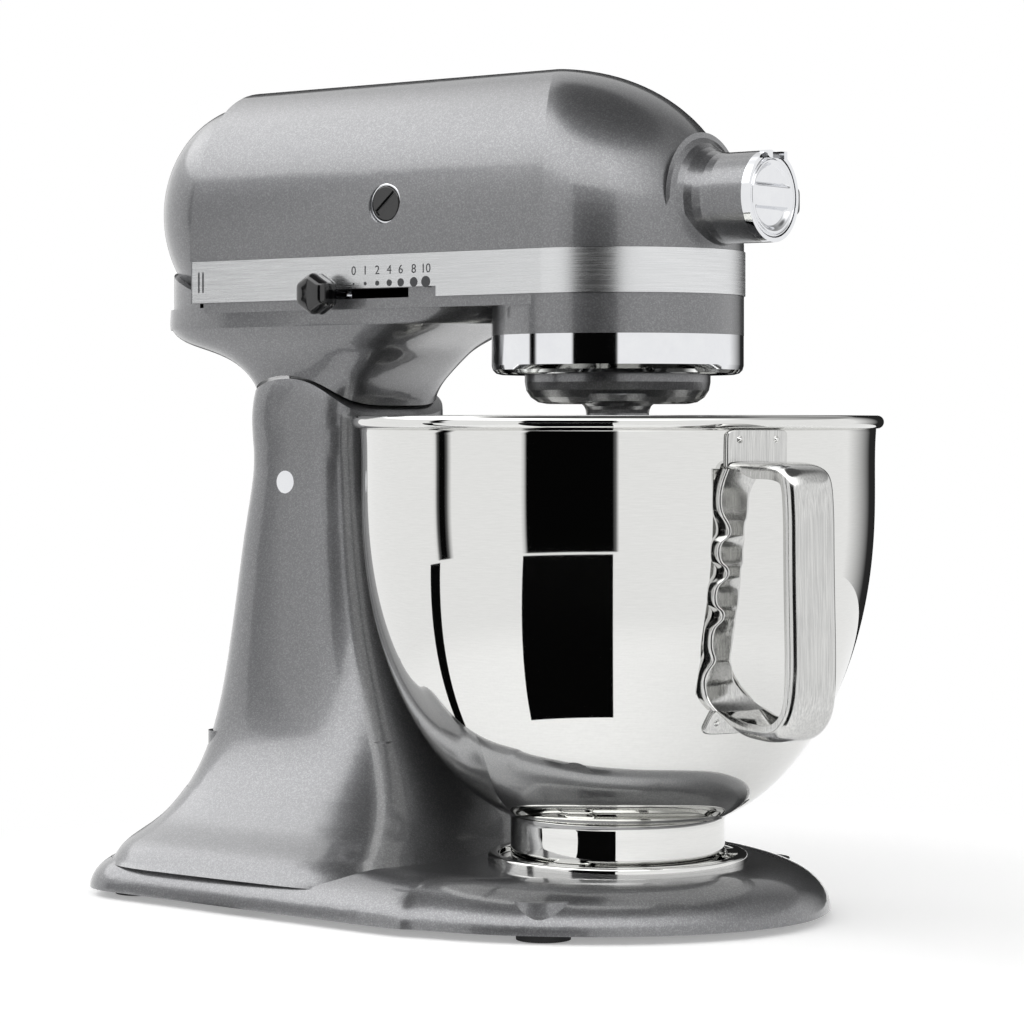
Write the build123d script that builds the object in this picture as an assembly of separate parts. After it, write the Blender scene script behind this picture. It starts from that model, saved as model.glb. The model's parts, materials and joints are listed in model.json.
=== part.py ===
from build123d import *
from math import atan2, cos, degrees, pi, radians, sin, sqrt
import os

# Tilt-head stand mixer, in millimetres.
# Frame: +Z up, +X towards the attachment hub, origin on the table under the axis of the bowl and planetary.
# Every function below makes one group of sub-parts and returns {node name: solid or compound}.

# ---------------------------------------------------------------- driving dimensions
# Foot print of the base, at its lower lip
BASE_REAR_X = -220.0
BASE_FRONT_X = 91.0
BASE_HALF_WIDTH = 111.0
BASE_REAR_TAPER = 4.0          # how much narrower each side is at the rear
BASE_CORNER_R = 27.0
BASE_FRONT_ARC_X = -50.0       # where the straight sides end and the front curve starts
BASE_FRONT_POWER = 1.9         # superellipse power of the front curve
LIP_Z = 3.2                    # height of the lip above the table
DECK_Z = 22.0                  # flat deck under the bowl
EDGE_RUN = 30.0                # how far the rounded edge runs in
BASE_WALL = 6.0
FOOT_R = 11.0
FOOT_SPOTS = [(-196.0, 84.0), (-196.0, -84.0), (20.0, 78.0), (20.0, -78.0), (0.0, 0.0)]

# Pedestal: stations of its outer outline, each (z, rear x, front x, half width, power)
PEDESTAL_STATIONS = [
    (14.0, -215.0, -46.0, 106.0, 5.5),
    (19.0, -213.5, -50.0, 102.0, 5.5),
    (25.0, -210.5, -55.5, 95.5, 5.2),
    (31.0, -206.5, -59.5, 85.0, 4.9),
    (38.0, -203.0, -63.5, 77.0, 4.6),
    (47.0, -199.5, -70.0, 69.0, 4.4),
    (60.0, -196.5, -79.5, 60.5, 4.3),
    (82.0, -193.5, -93.0, 52.0, 4.2),
    (109.0, -190.5, -104.5, 46.5, 4.2),
    (135.0, -187.5, -111.5, 43.0, 4.3),
    (162.0, -184.0, -116.5, 40.0, 4.4),
    (188.0, -180.5, -119.5, 38.0, 4.5),
    (228.0, -177.0, -121.0, 36.0, 4.5),
]
PEDESTAL_WALL = 6.0
SEAM_Z = 45.0                  # where the pedestal casting is bolted down on the base
BOLT_SPOTS = [(-181.0, 44.0), (-181.0, -44.0), (-98.0, 40.0), (-98.0, -40.0)]
BOLT_R = 4.0
BOLT_HEAD_Z = 18.0
BOLT_GRIP = 18.0               # how far a bolt reaches into the pedestal
POST_WALL = 5.0
CORNER_SHRINK = 0.6            # corner radius lost per millimetre of inset
FOOT_SINK = 3.0                # a foot sits this deep in its boss
FOOT_PLUG = 5.0

# Hinge between pedestal and head
PIVOT_X = -152.6
PIVOT_Z = 179.0
PIVOT_R = 5.0
SADDLE_R = 45.5                # round top of the pedestal, about the hinge
SADDLE_GAP = 1.4
EAR_INNER_Y = 27.5             # the hinge tongue swings between two ears
TONGUE_GAP = 1.0
KNUCKLE_R = 20.0
POCKET_LOW_Z = 155.0           # bottom of the pocket that the knuckle turns in
BACK_DOOR_Z = 184.5            # the pocket is open to the rear above this
SHELF_Z = 196.0                # shelf with the screw that sets the head's height
SHELF_DEPTH = 9.0
GLAND_Z = 66.0
GLAND_R = 7.0
RUN_CLEARANCE = 0.05           # radial, for every shaft in its bearing

# Head
HEAD_HALF_WIDTH = 53.0
HEAD_REAR_X = -196.0
BAND_LOW_Z = 257.8
BAND_HIGH_Z = 276.5
HEAD_TOP_Z = 355.2
HEAD_WALL = 3.5
SPLIT_Z = 264.0                # upper and lower castings meet behind the band
BAND_T = 1.2
BAND_PROUD = 0.6               # the band stands this far outside the paint
STRIP_LOW_Z = 253.5            # bottom of the flat edge under the band
RIDGE_END_X = -30.0            # the level top ends here and the nose begins
ARCH_POWER = 2.25
NOSE_POWERS = (2.3, 1.9)
BAND_RECESS = 0.7              # both castings step in behind the band
BAND_REAR_X = -194.0
STRIP_REAR_X = -188.0
CAVITY_HALF = 44.0
CAVITY_FLOOR_Z = 256.5
BUSH_R = 12.0
BUSH_TOP_Z = 260.0
WEB_REACH = (8.0, 13.0)        # the hinge tongue, behind and in front of the pin
TOE_REACH = 26.0

# Neck of the lower casting: stations (z, rear x, front x, half width, power)
NECK_STATIONS = [
    (203.0, -176.5, -121.0, 36.0, 4.5),
    (213.0, -177.5, -120.0, 36.3, 4.5),
    (222.0, -181.0, -116.0, 37.2, 4.4),
    (229.0, -188.5, -108.5, 39.0, 4.2),
    (235.0, -201.0, -101.0, 41.5, 4.0),
    (240.0, -219.0, -92.0, 44.5, 3.8),
    (245.5, -230.5, -78.0, 47.5, 3.6),
    (250.0, -232.5, -60.0, 50.0, 3.5),
    (256.0, -232.5, -36.0, 51.8, 3.5),
]
TAIL_REAR_X = -232.0
TAIL_LOW_Z = 251.0
TAIL_HALF_WIDTH = 49.5
TAIL_POWER = 3.5
TAIL_FRONT_X = -36.0

# Rear cover: part of an ellipsoid
COVER_DEPTH = 43.5
COVER_HALF_WIDTH = 50.0
COVER_HALF_HEIGHT = 52.0
COVER_CENTRE_Z = 299.0
COVER_WALL = 3.0
COVER_POWER = 2.2
COVER_FOOT_Z = 262.0           # its lower edge where it meets the head
COVER_FOOT_RISE = 15.0         # and how far that edge rises to the rear

# Motor and its axis
MOTOR_Z = 298.0
SHAFT_R = 5.0
CORE_R = 24.0
CORE_X = (-163.0, -114.0)
STATOR_HALF = (38.0, 36.0)
BRUSH_X = -84.5
COMMUTATOR_R = 13.0
BRUSH_CAP_R = 8.6
CAP_Y = (45.5, 51.2)
COIL_Y = 29.5
SHAFT_X = (-196.0, -24.0)
FAN_X = -177.0
BRACKET_X = (-191.0, -183.0)
GEARBOX_X = (-74.0, -66.0)
BOARD_X = -206.0

# Gears: module, teeth and where they sit
MODULE = 1.5
TOOTH_SHARE = 0.40             # tooth width at the pitch line, as a share of the pitch
WORM_R = 6.0
WORM_BORE_R = 3.0
WORM_X = (-60.0, -24.0)
WORM_PHASE = -58.0            # brings a gap of the thread to a tooth of the wheel
WHEEL_SHAFT_R = 4.0
PLANET_SHAFT_R = 5.0
HUB_SHAFT_R = 7.0
ARM_Z = (304.0, 311.0)
RING_GEAR_Z = (230.0, 238.0)
WHEEL_TEETH = 24
PINION_TEETH = 12
CENTRE_TEETH = 52
CROWN_TEETH = 40
HUB_TEETH = 26
RING_TEETH = 45
BEATER_TEETH = 18
CENTRE_GEAR_Z = (262.5, 270.0)
GEAR_FACE = 7.0
BEATER_OFFSET = MODULE * (RING_TEETH - BEATER_TEETH) / 2

# Planetary and bowl, all about the Z axis
DRUM_R = 53.0
TRIM_RING_Z = (225.2, 241.5)
PLANETARY_R = 39.0
PLANETARY_Z = (213.0, 228.0)
NECK_COLLAR_R = 13.0
BEATER_SHAFT_R = 6.3
BEATER_TIP_Z = 170.0
COLLAR_LOW_Z = 196.0
BEATER_SIDE = -54.2            # direction of the beater shaft from the axis, degrees
BOWL_RIM_R = 111.2
BOWL_TOP_Z = 208.1
BEAD_R = 2.7
BOWL_WALL = 1.2
BOWL_OUTLINE = [(108.0, 202.6), (107.5, 176.0), (106.6, 151.0), (103.8, 132.0), (99.5, 113.0),
                (90.0, 88.5), (78.9, 69.5), (68.4, 57.5), (57.0, 47.5), (44.0, 40.2), (28.0, 36.6)]
BOWL_FLOOR_R = 24.0
FOOT_RING_R = 45.0
FOOT_RING_Z = (22.4, 41.5)
CLAMP_R = 54.5
CLAMP_TOP_Z = 25.2
CLAMP_FLOOR_Z = 22.2
BAYONET_COUNT = 3
PLATE_LOW_Z = 19.4
PLATE_SCREW_R = 34.0
FOOT_FLARE = 1.5
LUG_R = 49.5                   # outer end of the bayonet lugs on the bowl's foot
LUG_ANGLE = -81.0
LUG_SPAN = 9.0                 # half angles of a lug and of the lip that holds it
LIP_SPAN = 12.0
LUG_Z = (22.7, 23.9)

# Bowl handle
HANDLE_ANGLE = -24.0
HANDLE_WIDTH = 21.0
HANDLE_OUTER_R = 149.5
HANDLE_TOP_Z = 190.0
HANDLE_LOW_Z = 83.0
HANDLE_T = 2.4
BRACKET_WIDTH = 28.0
BRACKET_T = 2.0
RIVET_R = 1.1
GRIP_SCOOPS = (177.0, 155.0, 138.0, 120.5)   # heights of the four finger rests
GRIP_LANDS = (163.0, 146.5, 130.0, 113.0)    # and of the ridges between them
FINGER_DEPTH = 2.5
GRIP_STAND = 4.0
GRIP_WIDTH = 11.0
GRIP_SHIFT = -12.4
GRIP_T = 1.8
ROOT_REACH = 10.0              # the strap is wider where it leaves the bowl
ROOT_Y = (-17.8, 13.0)
UPPER_PLATE_Z = (186.0, 202.4)
LOWER_PLATE_Z = (81.5, 92.5)
RIVET_Z = (198.6, 86.7)

# Attachment hub, its axis along X
HUB_Z = 297.0
HUB_R = 18.7
HUB_BORE_R = 15.5
HUB_FACE_X = 74.5
HUB_ROOT_X = 44.0              # the flare that blends the hub barrel into the nose
HUB_FLARE = 9.0
HUB_SEAT_X = (38.0, 50.0)
HUB_RING_T = 3.5
HUB_COVER_R = 16.6
HUB_RING_INNER_R = 16.9
HUB_PIVOT = (78.6, 313.4)
KNOB_X = 62.0
KNOB_R = 9.0

# Speed lever, on the -Y side, and lock lever, on the +Y side
LEVER_X = -113.0
LEVER_TRAVEL = 40.0
LEVER_Z = 260.0
LEVER_R = 1.7
SLOT_X = (-116.0, -55.0)
SLOT_HIGH_Z = 262.3
LOCK_X = -134.0
LOCK_Z = 236.0
LOCK_TRAVEL = 5.0
ARM_HALF = 2.5
LOCK_KNOB_Y = 47.0
LOCK_KNOB_R = 6.5
LEVER_STEM = 5.0               # bare lever between the band and its knob
LINK_REAR_X = -180.0           # the lever's link reaches back to the speed control
SPEED_KNOB_R = 8.2
KNOB_LENGTH = 11.0
KNOB_SCREW_R = 3.0
LATCH_Y = (12.0, 20.0)
LATCH_Z = (197.0, 203.0)


# ---------------------------------------------------------------- shared helpers
def ring_wire(points):
    """A smooth closed wire through points."""
    return Wire([Edge.make_spline([Vector(*p) for p in points], periodic=True)])


def superellipse(z, rear, front, half, power, count=44):
    """Points of |x/a|^n + |y/b|^n = 1 at height z, between two x values."""
    mid, a = (rear + front) / 2, (front - rear) / 2
    points = []
    for k in range(count):
        t = 2 * pi * (k + 0.5) / count
        c, s = cos(t), sin(t)
        x = abs(c) ** (2 / power) * (1 if c > 0 else -1)
        y = abs(s) ** (2 / power) * (1 if s > 0 else -1)
        points.append((mid + a * x, half * y, z))
    return points


def stack(stations, inset=0.0):
    """A smooth solid through superellipse stations, each drawn in by inset."""
    wires = [ring_wire(superellipse(z, r + inset, f - inset, h - inset, n))
             for z, r, f, h, n in stations]
    return Solid.make_loft(wires)


def rod(p, q, radius):
    """A round bar from p to q."""
    p, q = Vector(*p), Vector(*q)
    return Solid.make_cylinder(radius, (q - p).length, Plane(origin=p, z_dir=q - p))


def tube(p, q, outer, inner):
    return rod(p, q, outer) - rod(p, q, inner)


def block(x0, x1, y0, y1, z0, z1):
    return Pos((x0 + x1) / 2, (y0 + y1) / 2, (z0 + z1) / 2) * Box(x1 - x0, y1 - y0, z1 - z0)


def spun(profile, axis=Axis.Z):
    """A full turn of a closed outline given as (radius, height) points in the XZ plane."""
    face = make_face(Polyline(*[(r, 0, z) for r, z in profile], close=True))
    return revolve(face, axis, 360)


def group(parts):
    """Separate solids in one node."""
    solids = [s for p in parts for s in p.solids()]
    return Compound(children=solids)


def u_outline(half, rear_x, z):
    """The head's outline from above: straight sides and a round front about the Z axis."""
    wire = Wire([
        Edge.make_line((rear_x, -half, z), (0, -half, z)),
        Edge.make_three_point_arc((0, -half, z), (half, 0, z), (0, half, z)),
        Edge.make_line((0, half, z), (rear_x, half, z)),
        Edge.make_line((rear_x, half, z), (rear_x, -half, z)),
    ])
    return Face(wire)


def u_prism(half, rear_x, z0, z1):
    return extrude(u_outline(half, rear_x, z0), z1 - z0, dir=(0, 0, 1))


def spur_outline(teeth, module, phase, outward=True, tip=0.85, root=1.15):
    """Corner points of a gear with straight-flanked teeth, one tooth centred on phase (degrees)."""
    r = module * teeth / 2
    tip_r = r + module * tip if outward else r - module * tip
    root_r = r - module * root if outward else r + module * root
    half = 180 / teeth * TOOTH_SHARE
    points = []
    for k in range(teeth):
        middle = phase + 360 * k / teeth
        for radius, off in ((root_r, -half * 1.55), (tip_r, -half * 0.62),
                            (tip_r, half * 0.62), (root_r, half * 1.55)):
            angle = radians(middle + off)
            points.append((radius * cos(angle), radius * sin(angle)))
    return points


def spur_gear(teeth, module, phase, z0, z1, bore):
    face = make_face(Polyline(*[(x, y, z0) for x, y in spur_outline(teeth, module, phase)], close=True))
    gear = extrude(face, z1 - z0, dir=(0, 0, 1))
    return gear - rod((0, 0, z0 - 1), (0, 0, z1 + 1), bore) if bore else gear


def ball_bearing(x0, x1, outer, inner, z):
    """A bearing on an X axis: two races and a shield between them, as one solid."""
    race = tube((x0, 0, z), (x1, 0, z), outer, inner)
    groove = tube((x1 - 0.8, 0, z), (x1 + 1, 0, z), (outer * 2 + inner) / 3, (outer + inner * 2) / 3)
    return race - groove


# ---------------------------------------------------------------- base
def base_wire(inset, z):
    """Outline of the base drawn in by inset: straight rear with round corners, curved front."""
    rear = BASE_REAR_X + inset
    side = BASE_HALF_WIDTH - inset
    back = side - BASE_REAR_TAPER
    r = BASE_CORNER_R - CORNER_SHRINK * inset
    reach = BASE_FRONT_X - inset - BASE_FRONT_ARC_X
    front = []
    for k in range(-8, 9):
        t = pi / 2 * k / 8
        x = BASE_FRONT_ARC_X + reach * abs(cos(t)) ** (2 / BASE_FRONT_POWER)
        y = side * abs(sin(t)) ** (2 / BASE_FRONT_POWER) * (1 if t > 0 else -1)
        front.append(Vector(x, y if k else 0, z))
    front[0], front[-1] = Vector(BASE_FRONT_ARC_X, -side, z), Vector(BASE_FRONT_ARC_X, side, z)
    sway = r * sqrt(0.5)
    a, b = Vector(rear, -back + r, z), Vector(rear, back - r, z)
    c, d = Vector(rear + r, back, z), Vector(rear + r, -back, z)
    middle_c = Vector(rear + r - sway, back - r + sway, z)
    middle_d = Vector(rear + r - sway, -back + r - sway, z)
    return Wire([
        Edge.make_line(a, b), Edge.make_three_point_arc(b, middle_c, c), Edge.make_line(c, front[-1]),
        Edge.make_spline(front[::-1], tangents=[Vector(1, 0, 0), Vector(-1, 0, 0)]),
        Edge.make_line(front[0], d), Edge.make_three_point_arc(d, middle_d, a),
    ])


def base_slab():
    """The base's outer body: a quarter-ellipse edge from the lip up to the deck."""
    wires = []
    for k in range(7):
        t = radians(90 * k / 6)
        wires.append(base_wire(EDGE_RUN * (1 - cos(t)), LIP_Z + (DECK_Z - LIP_Z) * sin(t)))
    return Solid.make_loft(wires)


def bolt_posts(z0, z1, reach, skin):
    """Round posts for the pedestal bolts, each with a rib that ties it to the wall beside it."""
    posts = []
    for x, y in BOLT_SPOTS:
        posts.append(rod((x, y, z0), (x, y, z1), BOLT_R + POST_WALL))
        side = 1 if y > 0 else -1
        rib = block(x - 3, x + 3, min(y, side * reach), max(y, side * reach), z0, z1)
        posts += (rib & skin).solids()
    return posts


def base():
    flare = stack([s for s in PEDESTAL_STATIONS if s[0] < SEAM_Z + 40])
    flare &= block(-400, 200, -200, 200, PEDESTAL_STATIONS[0][0], SEAM_Z)
    flare_hollow = stack([s for s in PEDESTAL_STATIONS if s[0] < SEAM_Z + 40], PEDESTAL_WALL)
    skin = base_slab() + flare
    deck_low = DECK_Z - BASE_WALL
    under = Solid.extrude(Face(base_wire(EDGE_RUN / 2, -1)), Vector(0, 0, deck_low + 1))
    hollow = flare_hollow & block(-400, 200, -200, 200, 0, SEAM_Z + 1)
    casting = skin - [under, hollow]
    adds = bolt_posts(BOLT_HEAD_Z - 6, SEAM_Z, BASE_HALF_WIDTH, skin)
    adds += [rod((x, y, LIP_Z), (x, y, deck_low), FOOT_R + 2) for x, y in FOOT_SPOTS]
    adds.append(rod((0, 0, deck_low - 3), (0, 0, deck_low), CLAMP_R + 3))
    casting += adds
    cuts = [rod((0, 0, PLATE_LOW_Z), (0, 0, DECK_Z + 5), CLAMP_R)]
    for x, y in FOOT_SPOTS:
        cuts.append(rod((x, y, 0), (x, y, LIP_Z + FOOT_SINK), FOOT_R))
        cuts.append(rod((x, y, 0), (x, y, LIP_Z + FOOT_SINK + FOOT_PLUG), FOOT_R / 3))
    for x, y in BOLT_SPOTS:
        cuts.append(rod((x, y, -1), (x, y, SEAM_Z + 1), BOLT_R))
        cuts.append(rod((x, y, -1), (x, y, BOLT_HEAD_Z), BOLT_R * 1.9))
    feet = [rod((x, y, 0), (x, y, LIP_Z + FOOT_SINK), FOOT_R)
            + rod((x, y, LIP_Z), (x, y, LIP_Z + FOOT_SINK + FOOT_PLUG), FOOT_R / 3) for x, y in FOOT_SPOTS]
    bolts = [rod((x, y, BOLT_HEAD_Z - 4), (x, y, BOLT_HEAD_Z), BOLT_R * 1.8)
             + rod((x, y, BOLT_HEAD_Z - 2), (x, y, SEAM_Z + BOLT_GRIP), BOLT_R) for x, y in BOLT_SPOTS]
    plate = spun([(0, PLATE_LOW_Z), (CLAMP_R, PLATE_LOW_Z), (CLAMP_R, CLAMP_TOP_Z - 1),
                  (CLAMP_R - 1, CLAMP_TOP_Z), (LUG_R + 0.7, CLAMP_TOP_Z), (LUG_R + 0.7, CLAMP_FLOOR_Z),
                  (0, CLAMP_FLOOR_Z)])
    screws = []
    for k in range(BAYONET_COUNT):
        middle = LUG_ANGLE + 360 * k / BAYONET_COUNT
        plate += sector(FOOT_RING_R + 1, LUG_R + 1, middle - LIP_SPAN, middle + LIP_SPAN,
                        CLAMP_TOP_Z - 1, CLAMP_TOP_Z)
        angle = radians(middle + 60)
        x, y = PLATE_SCREW_R * cos(angle), PLATE_SCREW_R * sin(angle)
        hole = rod((x, y, PLATE_LOW_Z - 8), (x, y, CLAMP_FLOOR_Z + 1), 2)
        head = rod((x, y, CLAMP_FLOOR_Z - 1.2), (x, y, CLAMP_FLOOR_Z + 1), 3.4)
        plate -= hole + head
        cuts.append(rod((x, y, PLATE_LOW_Z - 8), (x, y, PLATE_LOW_Z), 2))
        screw = rod((x, y, PLATE_LOW_Z - 6), (x, y, CLAMP_FLOOR_Z - 1), 2)
        screw += rod((x, y, CLAMP_FLOOR_Z - 1.2), (x, y, CLAMP_FLOOR_Z), 3.4)
        screw -= block(x - 2.4, x + 2.4, y - 0.4, y + 0.4, CLAMP_FLOOR_Z - 0.7, CLAMP_FLOOR_Z + 1)
        screws.append(screw)
    casting -= cuts
    return {"base_casting": casting, "rubber_feet": group(feet), "pedestal_bolts": group(bolts),
            "bowl_clamp_plate": plate, "clamp_plate_screws": group(screws)}


def sector(inner, outer, start, end, z0, z1):
    """A block bounded by two radii and two angles (degrees) about the Z axis."""
    def at(radius, angle):
        return Vector(radius * cos(radians(angle)), radius * sin(radians(angle)), z0)
    middle = (start + end) / 2
    face = Face(Wire([
        Edge.make_line(at(inner, start), at(outer, start)),
        Edge.make_three_point_arc(at(outer, start), at(outer, middle), at(outer, end)),
        Edge.make_line(at(outer, end), at(inner, end)),
        Edge.make_three_point_arc(at(inner, end), at(inner, middle), at(inner, start)),
    ]))
    return Solid.extrude(face, Vector(0, 0, z1 - z0))


# ---------------------------------------------------------------- pedestal and hinge
def hinge_rod(radius, half):
    return rod((PIVOT_X, -half, PIVOT_Z), (PIVOT_X, half, PIVOT_Z), radius)


def pedestal():
    outer = stack([s for s in PEDESTAL_STATIONS if s[0] > SEAM_Z - 20])
    inner = stack([s for s in PEDESTAL_STATIONS if s[0] > SEAM_Z - 20], PEDESTAL_WALL)
    below = block(-400, 200, -200, 200, SEAM_Z, PIVOT_Z)
    column = outer & (below + hinge_rod(SADDLE_R, 100))
    shaft = inner & block(-400, 200, -200, 200, SEAM_Z - 1, POCKET_LOW_Z)
    front = pedestal_face(PIVOT_Z, front=True) - PEDESTAL_WALL
    rear = pedestal_face(PIVOT_Z, front=False) + PEDESTAL_WALL
    pocket = block(rear, front, -EAR_INNER_Y, EAR_INNER_Y, POCKET_LOW_Z - 1, PIVOT_Z + SADDLE_R + 1)
    back_door = block(rear - 20, rear + 1, -EAR_INNER_Y, EAR_INNER_Y, BACK_DOOR_Z, PIVOT_Z + SADDLE_R + 1)
    column -= [shaft, pocket, back_door, hinge_rod(PIVOT_R, 100)]
    shelf = block(front - SHELF_DEPTH, front + 1, -8, 8, SHELF_Z - 6, SHELF_Z)
    screw_x = front - SHELF_DEPTH / 2
    column += bolt_posts(SEAM_Z, SEAM_Z + BOLT_GRIP + 6, BASE_HALF_WIDTH, outer & below) + [shelf]
    cuts = [rod((x, y, SEAM_Z - 1), (x, y, SEAM_Z + BOLT_GRIP), BOLT_R) for x, y in BOLT_SPOTS]
    cuts.append(rod((screw_x, 0, SHELF_Z - 9), (screw_x, 0, SHELF_Z + 1), 2.5))
    catch = block(front - 1, front + LOCK_TRAVEL - 0.5, LATCH_Y[0] - 0.5, LATCH_Y[1] + 0.5,
                  LATCH_Z[0] - 0.5, LATCH_Z[1] + 0.5)
    ear_y = pedestal_half(PIVOT_Z)
    set_hole = rod((PIVOT_X, EAR_INNER_Y + 4, PIVOT_Z - 22), (PIVOT_X, EAR_INNER_Y + 4, PIVOT_Z), 2)
    gland_x = pedestal_face(GLAND_Z, front=False)
    cuts += [catch, set_hole, rod((gland_x - 5, 0, GLAND_Z), (gland_x + 15, 0, GLAND_Z), GLAND_R)]
    column -= cuts
    gland = tube((gland_x - 3, 0, GLAND_Z), (gland_x + 9, 0, GLAND_Z), GLAND_R, GLAND_R - 3)
    gland += tube((gland_x - 5.5, 0, GLAND_Z), (gland_x - 2.6, 0, GLAND_Z), GLAND_R + 2.5, GLAND_R - 3)
    gland = gland - (column & block(gland_x - 10, gland_x + 1, -20, 20, GLAND_Z - 20, GLAND_Z + 20))
    pin = hinge_rod(PIVOT_R, ear_y - 0.4)
    set_screw = rod((PIVOT_X, EAR_INNER_Y + 4, PIVOT_Z - 20), (PIVOT_X, EAR_INNER_Y + 4, PIVOT_Z - PIVOT_R + 0.01), 2)
    set_screw -= hinge_rod(PIVOT_R, 100)
    stop = rod((screw_x, 0, SHELF_Z - 12), (screw_x, 0, SHELF_Z), 2.5)
    stop += rod((screw_x, 0, SHELF_Z), (screw_x, 0, SHELF_Z + 3), 3.8)
    return {"pedestal": column, "pivot_pin": pin, "adjusting_screws": group([set_screw, stop]),
            "cord_inlet": gland}


def station_value(z, index):
    """A pedestal station value at height z, by straight lines between stations."""
    for low, high in zip(PEDESTAL_STATIONS, PEDESTAL_STATIONS[1:]):
        if low[0] <= z <= high[0]:
            share = (z - low[0]) / (high[0] - low[0])
            return low[index] + (high[index] - low[index]) * share
    raise ValueError("height outside the pedestal")


def pedestal_face(z, front):
    return station_value(z, 2 if front else 1)


def pedestal_half(z):
    return station_value(z, 3)


# ---------------------------------------------------------------- head shells
def head_wire(z, inset, rear):
    """The upper housing's outline at height z: each point slides from the side towards the ridge as z rises."""
    height = HEAD_TOP_Z - BAND_HIGH_Z
    lift = max(0.0, z - BAND_HIGH_Z) / (height - inset)
    half = HEAD_HALF_WIDTH - inset
    points = []
    count = 24
    for k in range(-count, count + 1):
        angle = pi / 2 * k / count
        turn = cos(angle)
        rise, run = ((1 - turn) * ARCH_POWER + turn * NOSE_POWERS[i] for i in (0, 1))
        share = max(0.0, 1 - lift ** rise) ** (1 / run)
        foot = (half * cos(angle), half * sin(angle))
        points.append(Vector(RIDGE_END_X + share * (foot[0] - RIDGE_END_X), share * foot[1], z))
    side = points[-1].Y
    a, b = Vector(rear, -side, z), Vector(rear, side, z)
    return Wire([Edge.make_line(a, points[0]),
                 Edge.make_spline(points),
                 Edge.make_line(points[-1], b), Edge.make_line(b, a)])


def head_shape(inset, rear):
    """The upper housing's outer body, or with an inset its hollow."""
    height = HEAD_TOP_Z - BAND_HIGH_Z - inset
    shares = (0.0, 0.12, 0.26, 0.4, 0.54, 0.67, 0.78, 0.87, 0.935, 0.975, 0.995)
    return Solid.make_loft([head_wire(BAND_HIGH_Z + height * s, inset, rear) for s in shares])


def upper_housing():
    nose = head_shape(0, HEAD_REAR_X)
    skirt = u_prism(HEAD_HALF_WIDTH - BAND_RECESS, HEAD_REAR_X, SPLIT_Z, BAND_HIGH_Z)
    flare = [(0, HUB_ROOT_X)]
    for k in range(7):
        t = radians(90 * k / 6)
        flare.append((HUB_R + HUB_FLARE * (1 - sin(t)), HUB_ROOT_X + HUB_FLARE * 1.6 * (1 - cos(t))))
    flare += [(HUB_R, HUB_FACE_X), (0, HUB_FACE_X)]
    barrel = spun_x(flare, HUB_Z) & block(0, 200, -100, 100, BAND_HIGH_Z, 400)
    hollow = head_shape(HEAD_WALL, HEAD_REAR_X - 1)
    hollow += u_prism(HEAD_HALF_WIDTH - BAND_RECESS - HEAD_WALL, HEAD_REAR_X - 1, SPLIT_Z - 1, BAND_HIGH_Z + 1)
    seat = rod((HUB_SEAT_X[0], 0, HUB_Z), (HUB_SEAT_X[1] + 4, 0, HUB_Z), HUB_BORE_R + 2)
    shell = (nose + skirt + barrel) - hollow
    shell += seat
    shell -= rod((HUB_SEAT_X[1], 0, HUB_Z), (HUB_FACE_X + 1, 0, HUB_Z), HUB_BORE_R)
    shell -= rod((HUB_SEAT_X[0] - 1, 0, HUB_Z), (HUB_SEAT_X[1] + 1, 0, HUB_Z), HUB_SHAFT_R + RUN_CLEARANCE)
    boss = rod((KNOB_X, HUB_R - 3, HUB_Z), (KNOB_X, HUB_R + 2.5, HUB_Z), KNOB_R - 2)
    shell += boss & block(0, 200, 0, 200, 0, 400)
    cuts = [rod((KNOB_X, HUB_BORE_R - 2, HUB_Z), (KNOB_X, HUB_R + 5, HUB_Z), KNOB_SCREW_R + RUN_CLEARANCE)]
    for y in (-1, 1):
        cuts.append(rod((BRUSH_X, y * (HEAD_HALF_WIDTH - 7), MOTOR_Z),
                        (BRUSH_X, y * (HEAD_HALF_WIDTH + 3), MOTOR_Z), BRUSH_CAP_R))
    return shell - cuts


def spun_x(profile, z):
    """A full turn about an X axis at height z of (radius, x) points."""
    face = make_face(Polyline(*[(x, 0, z + r) for r, x in profile], close=True))
    return revolve(face, Axis((0, 0, z), (1, 0, 0)), 360)


def rear_dome(inset):
    """The rear half of an ellipsoid, flat side towards the head."""
    a, b, c = COVER_DEPTH - inset, COVER_HALF_WIDTH - inset, COVER_HALF_HEIGHT - inset
    wires = []
    for share in (0.0, 0.18, 0.36, 0.52, 0.67, 0.8, 0.9, 0.965, 0.995):
        size = (1 - share ** COVER_POWER) ** (1 / COVER_POWER)
        plane = Plane(origin=(HEAD_REAR_X - a * share, 0, COVER_CENTRE_Z), z_dir=(-1, 0, 0), x_dir=(0, 1, 0))
        wires.append(Wire([Edge.make_ellipse(b * size, c * size, plane)]))
    return Solid.make_loft(wires)


def cover_foot(drop=0.0):
    """Everything above the sloping lower edge of the rear cover."""
    x0, x1 = HEAD_REAR_X + 1, HEAD_REAR_X - 80
    slope = COVER_FOOT_RISE / COVER_DEPTH
    points = [(x0, COVER_FOOT_Z - slope - drop), (x1, COVER_FOOT_Z + slope * 80 - drop), (x1, 420), (x0, 420)]
    face = make_face(Polyline(*[(x, -120, z) for x, z in points], close=True))
    return extrude(face, 240, dir=(0, 1, 0))


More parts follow.
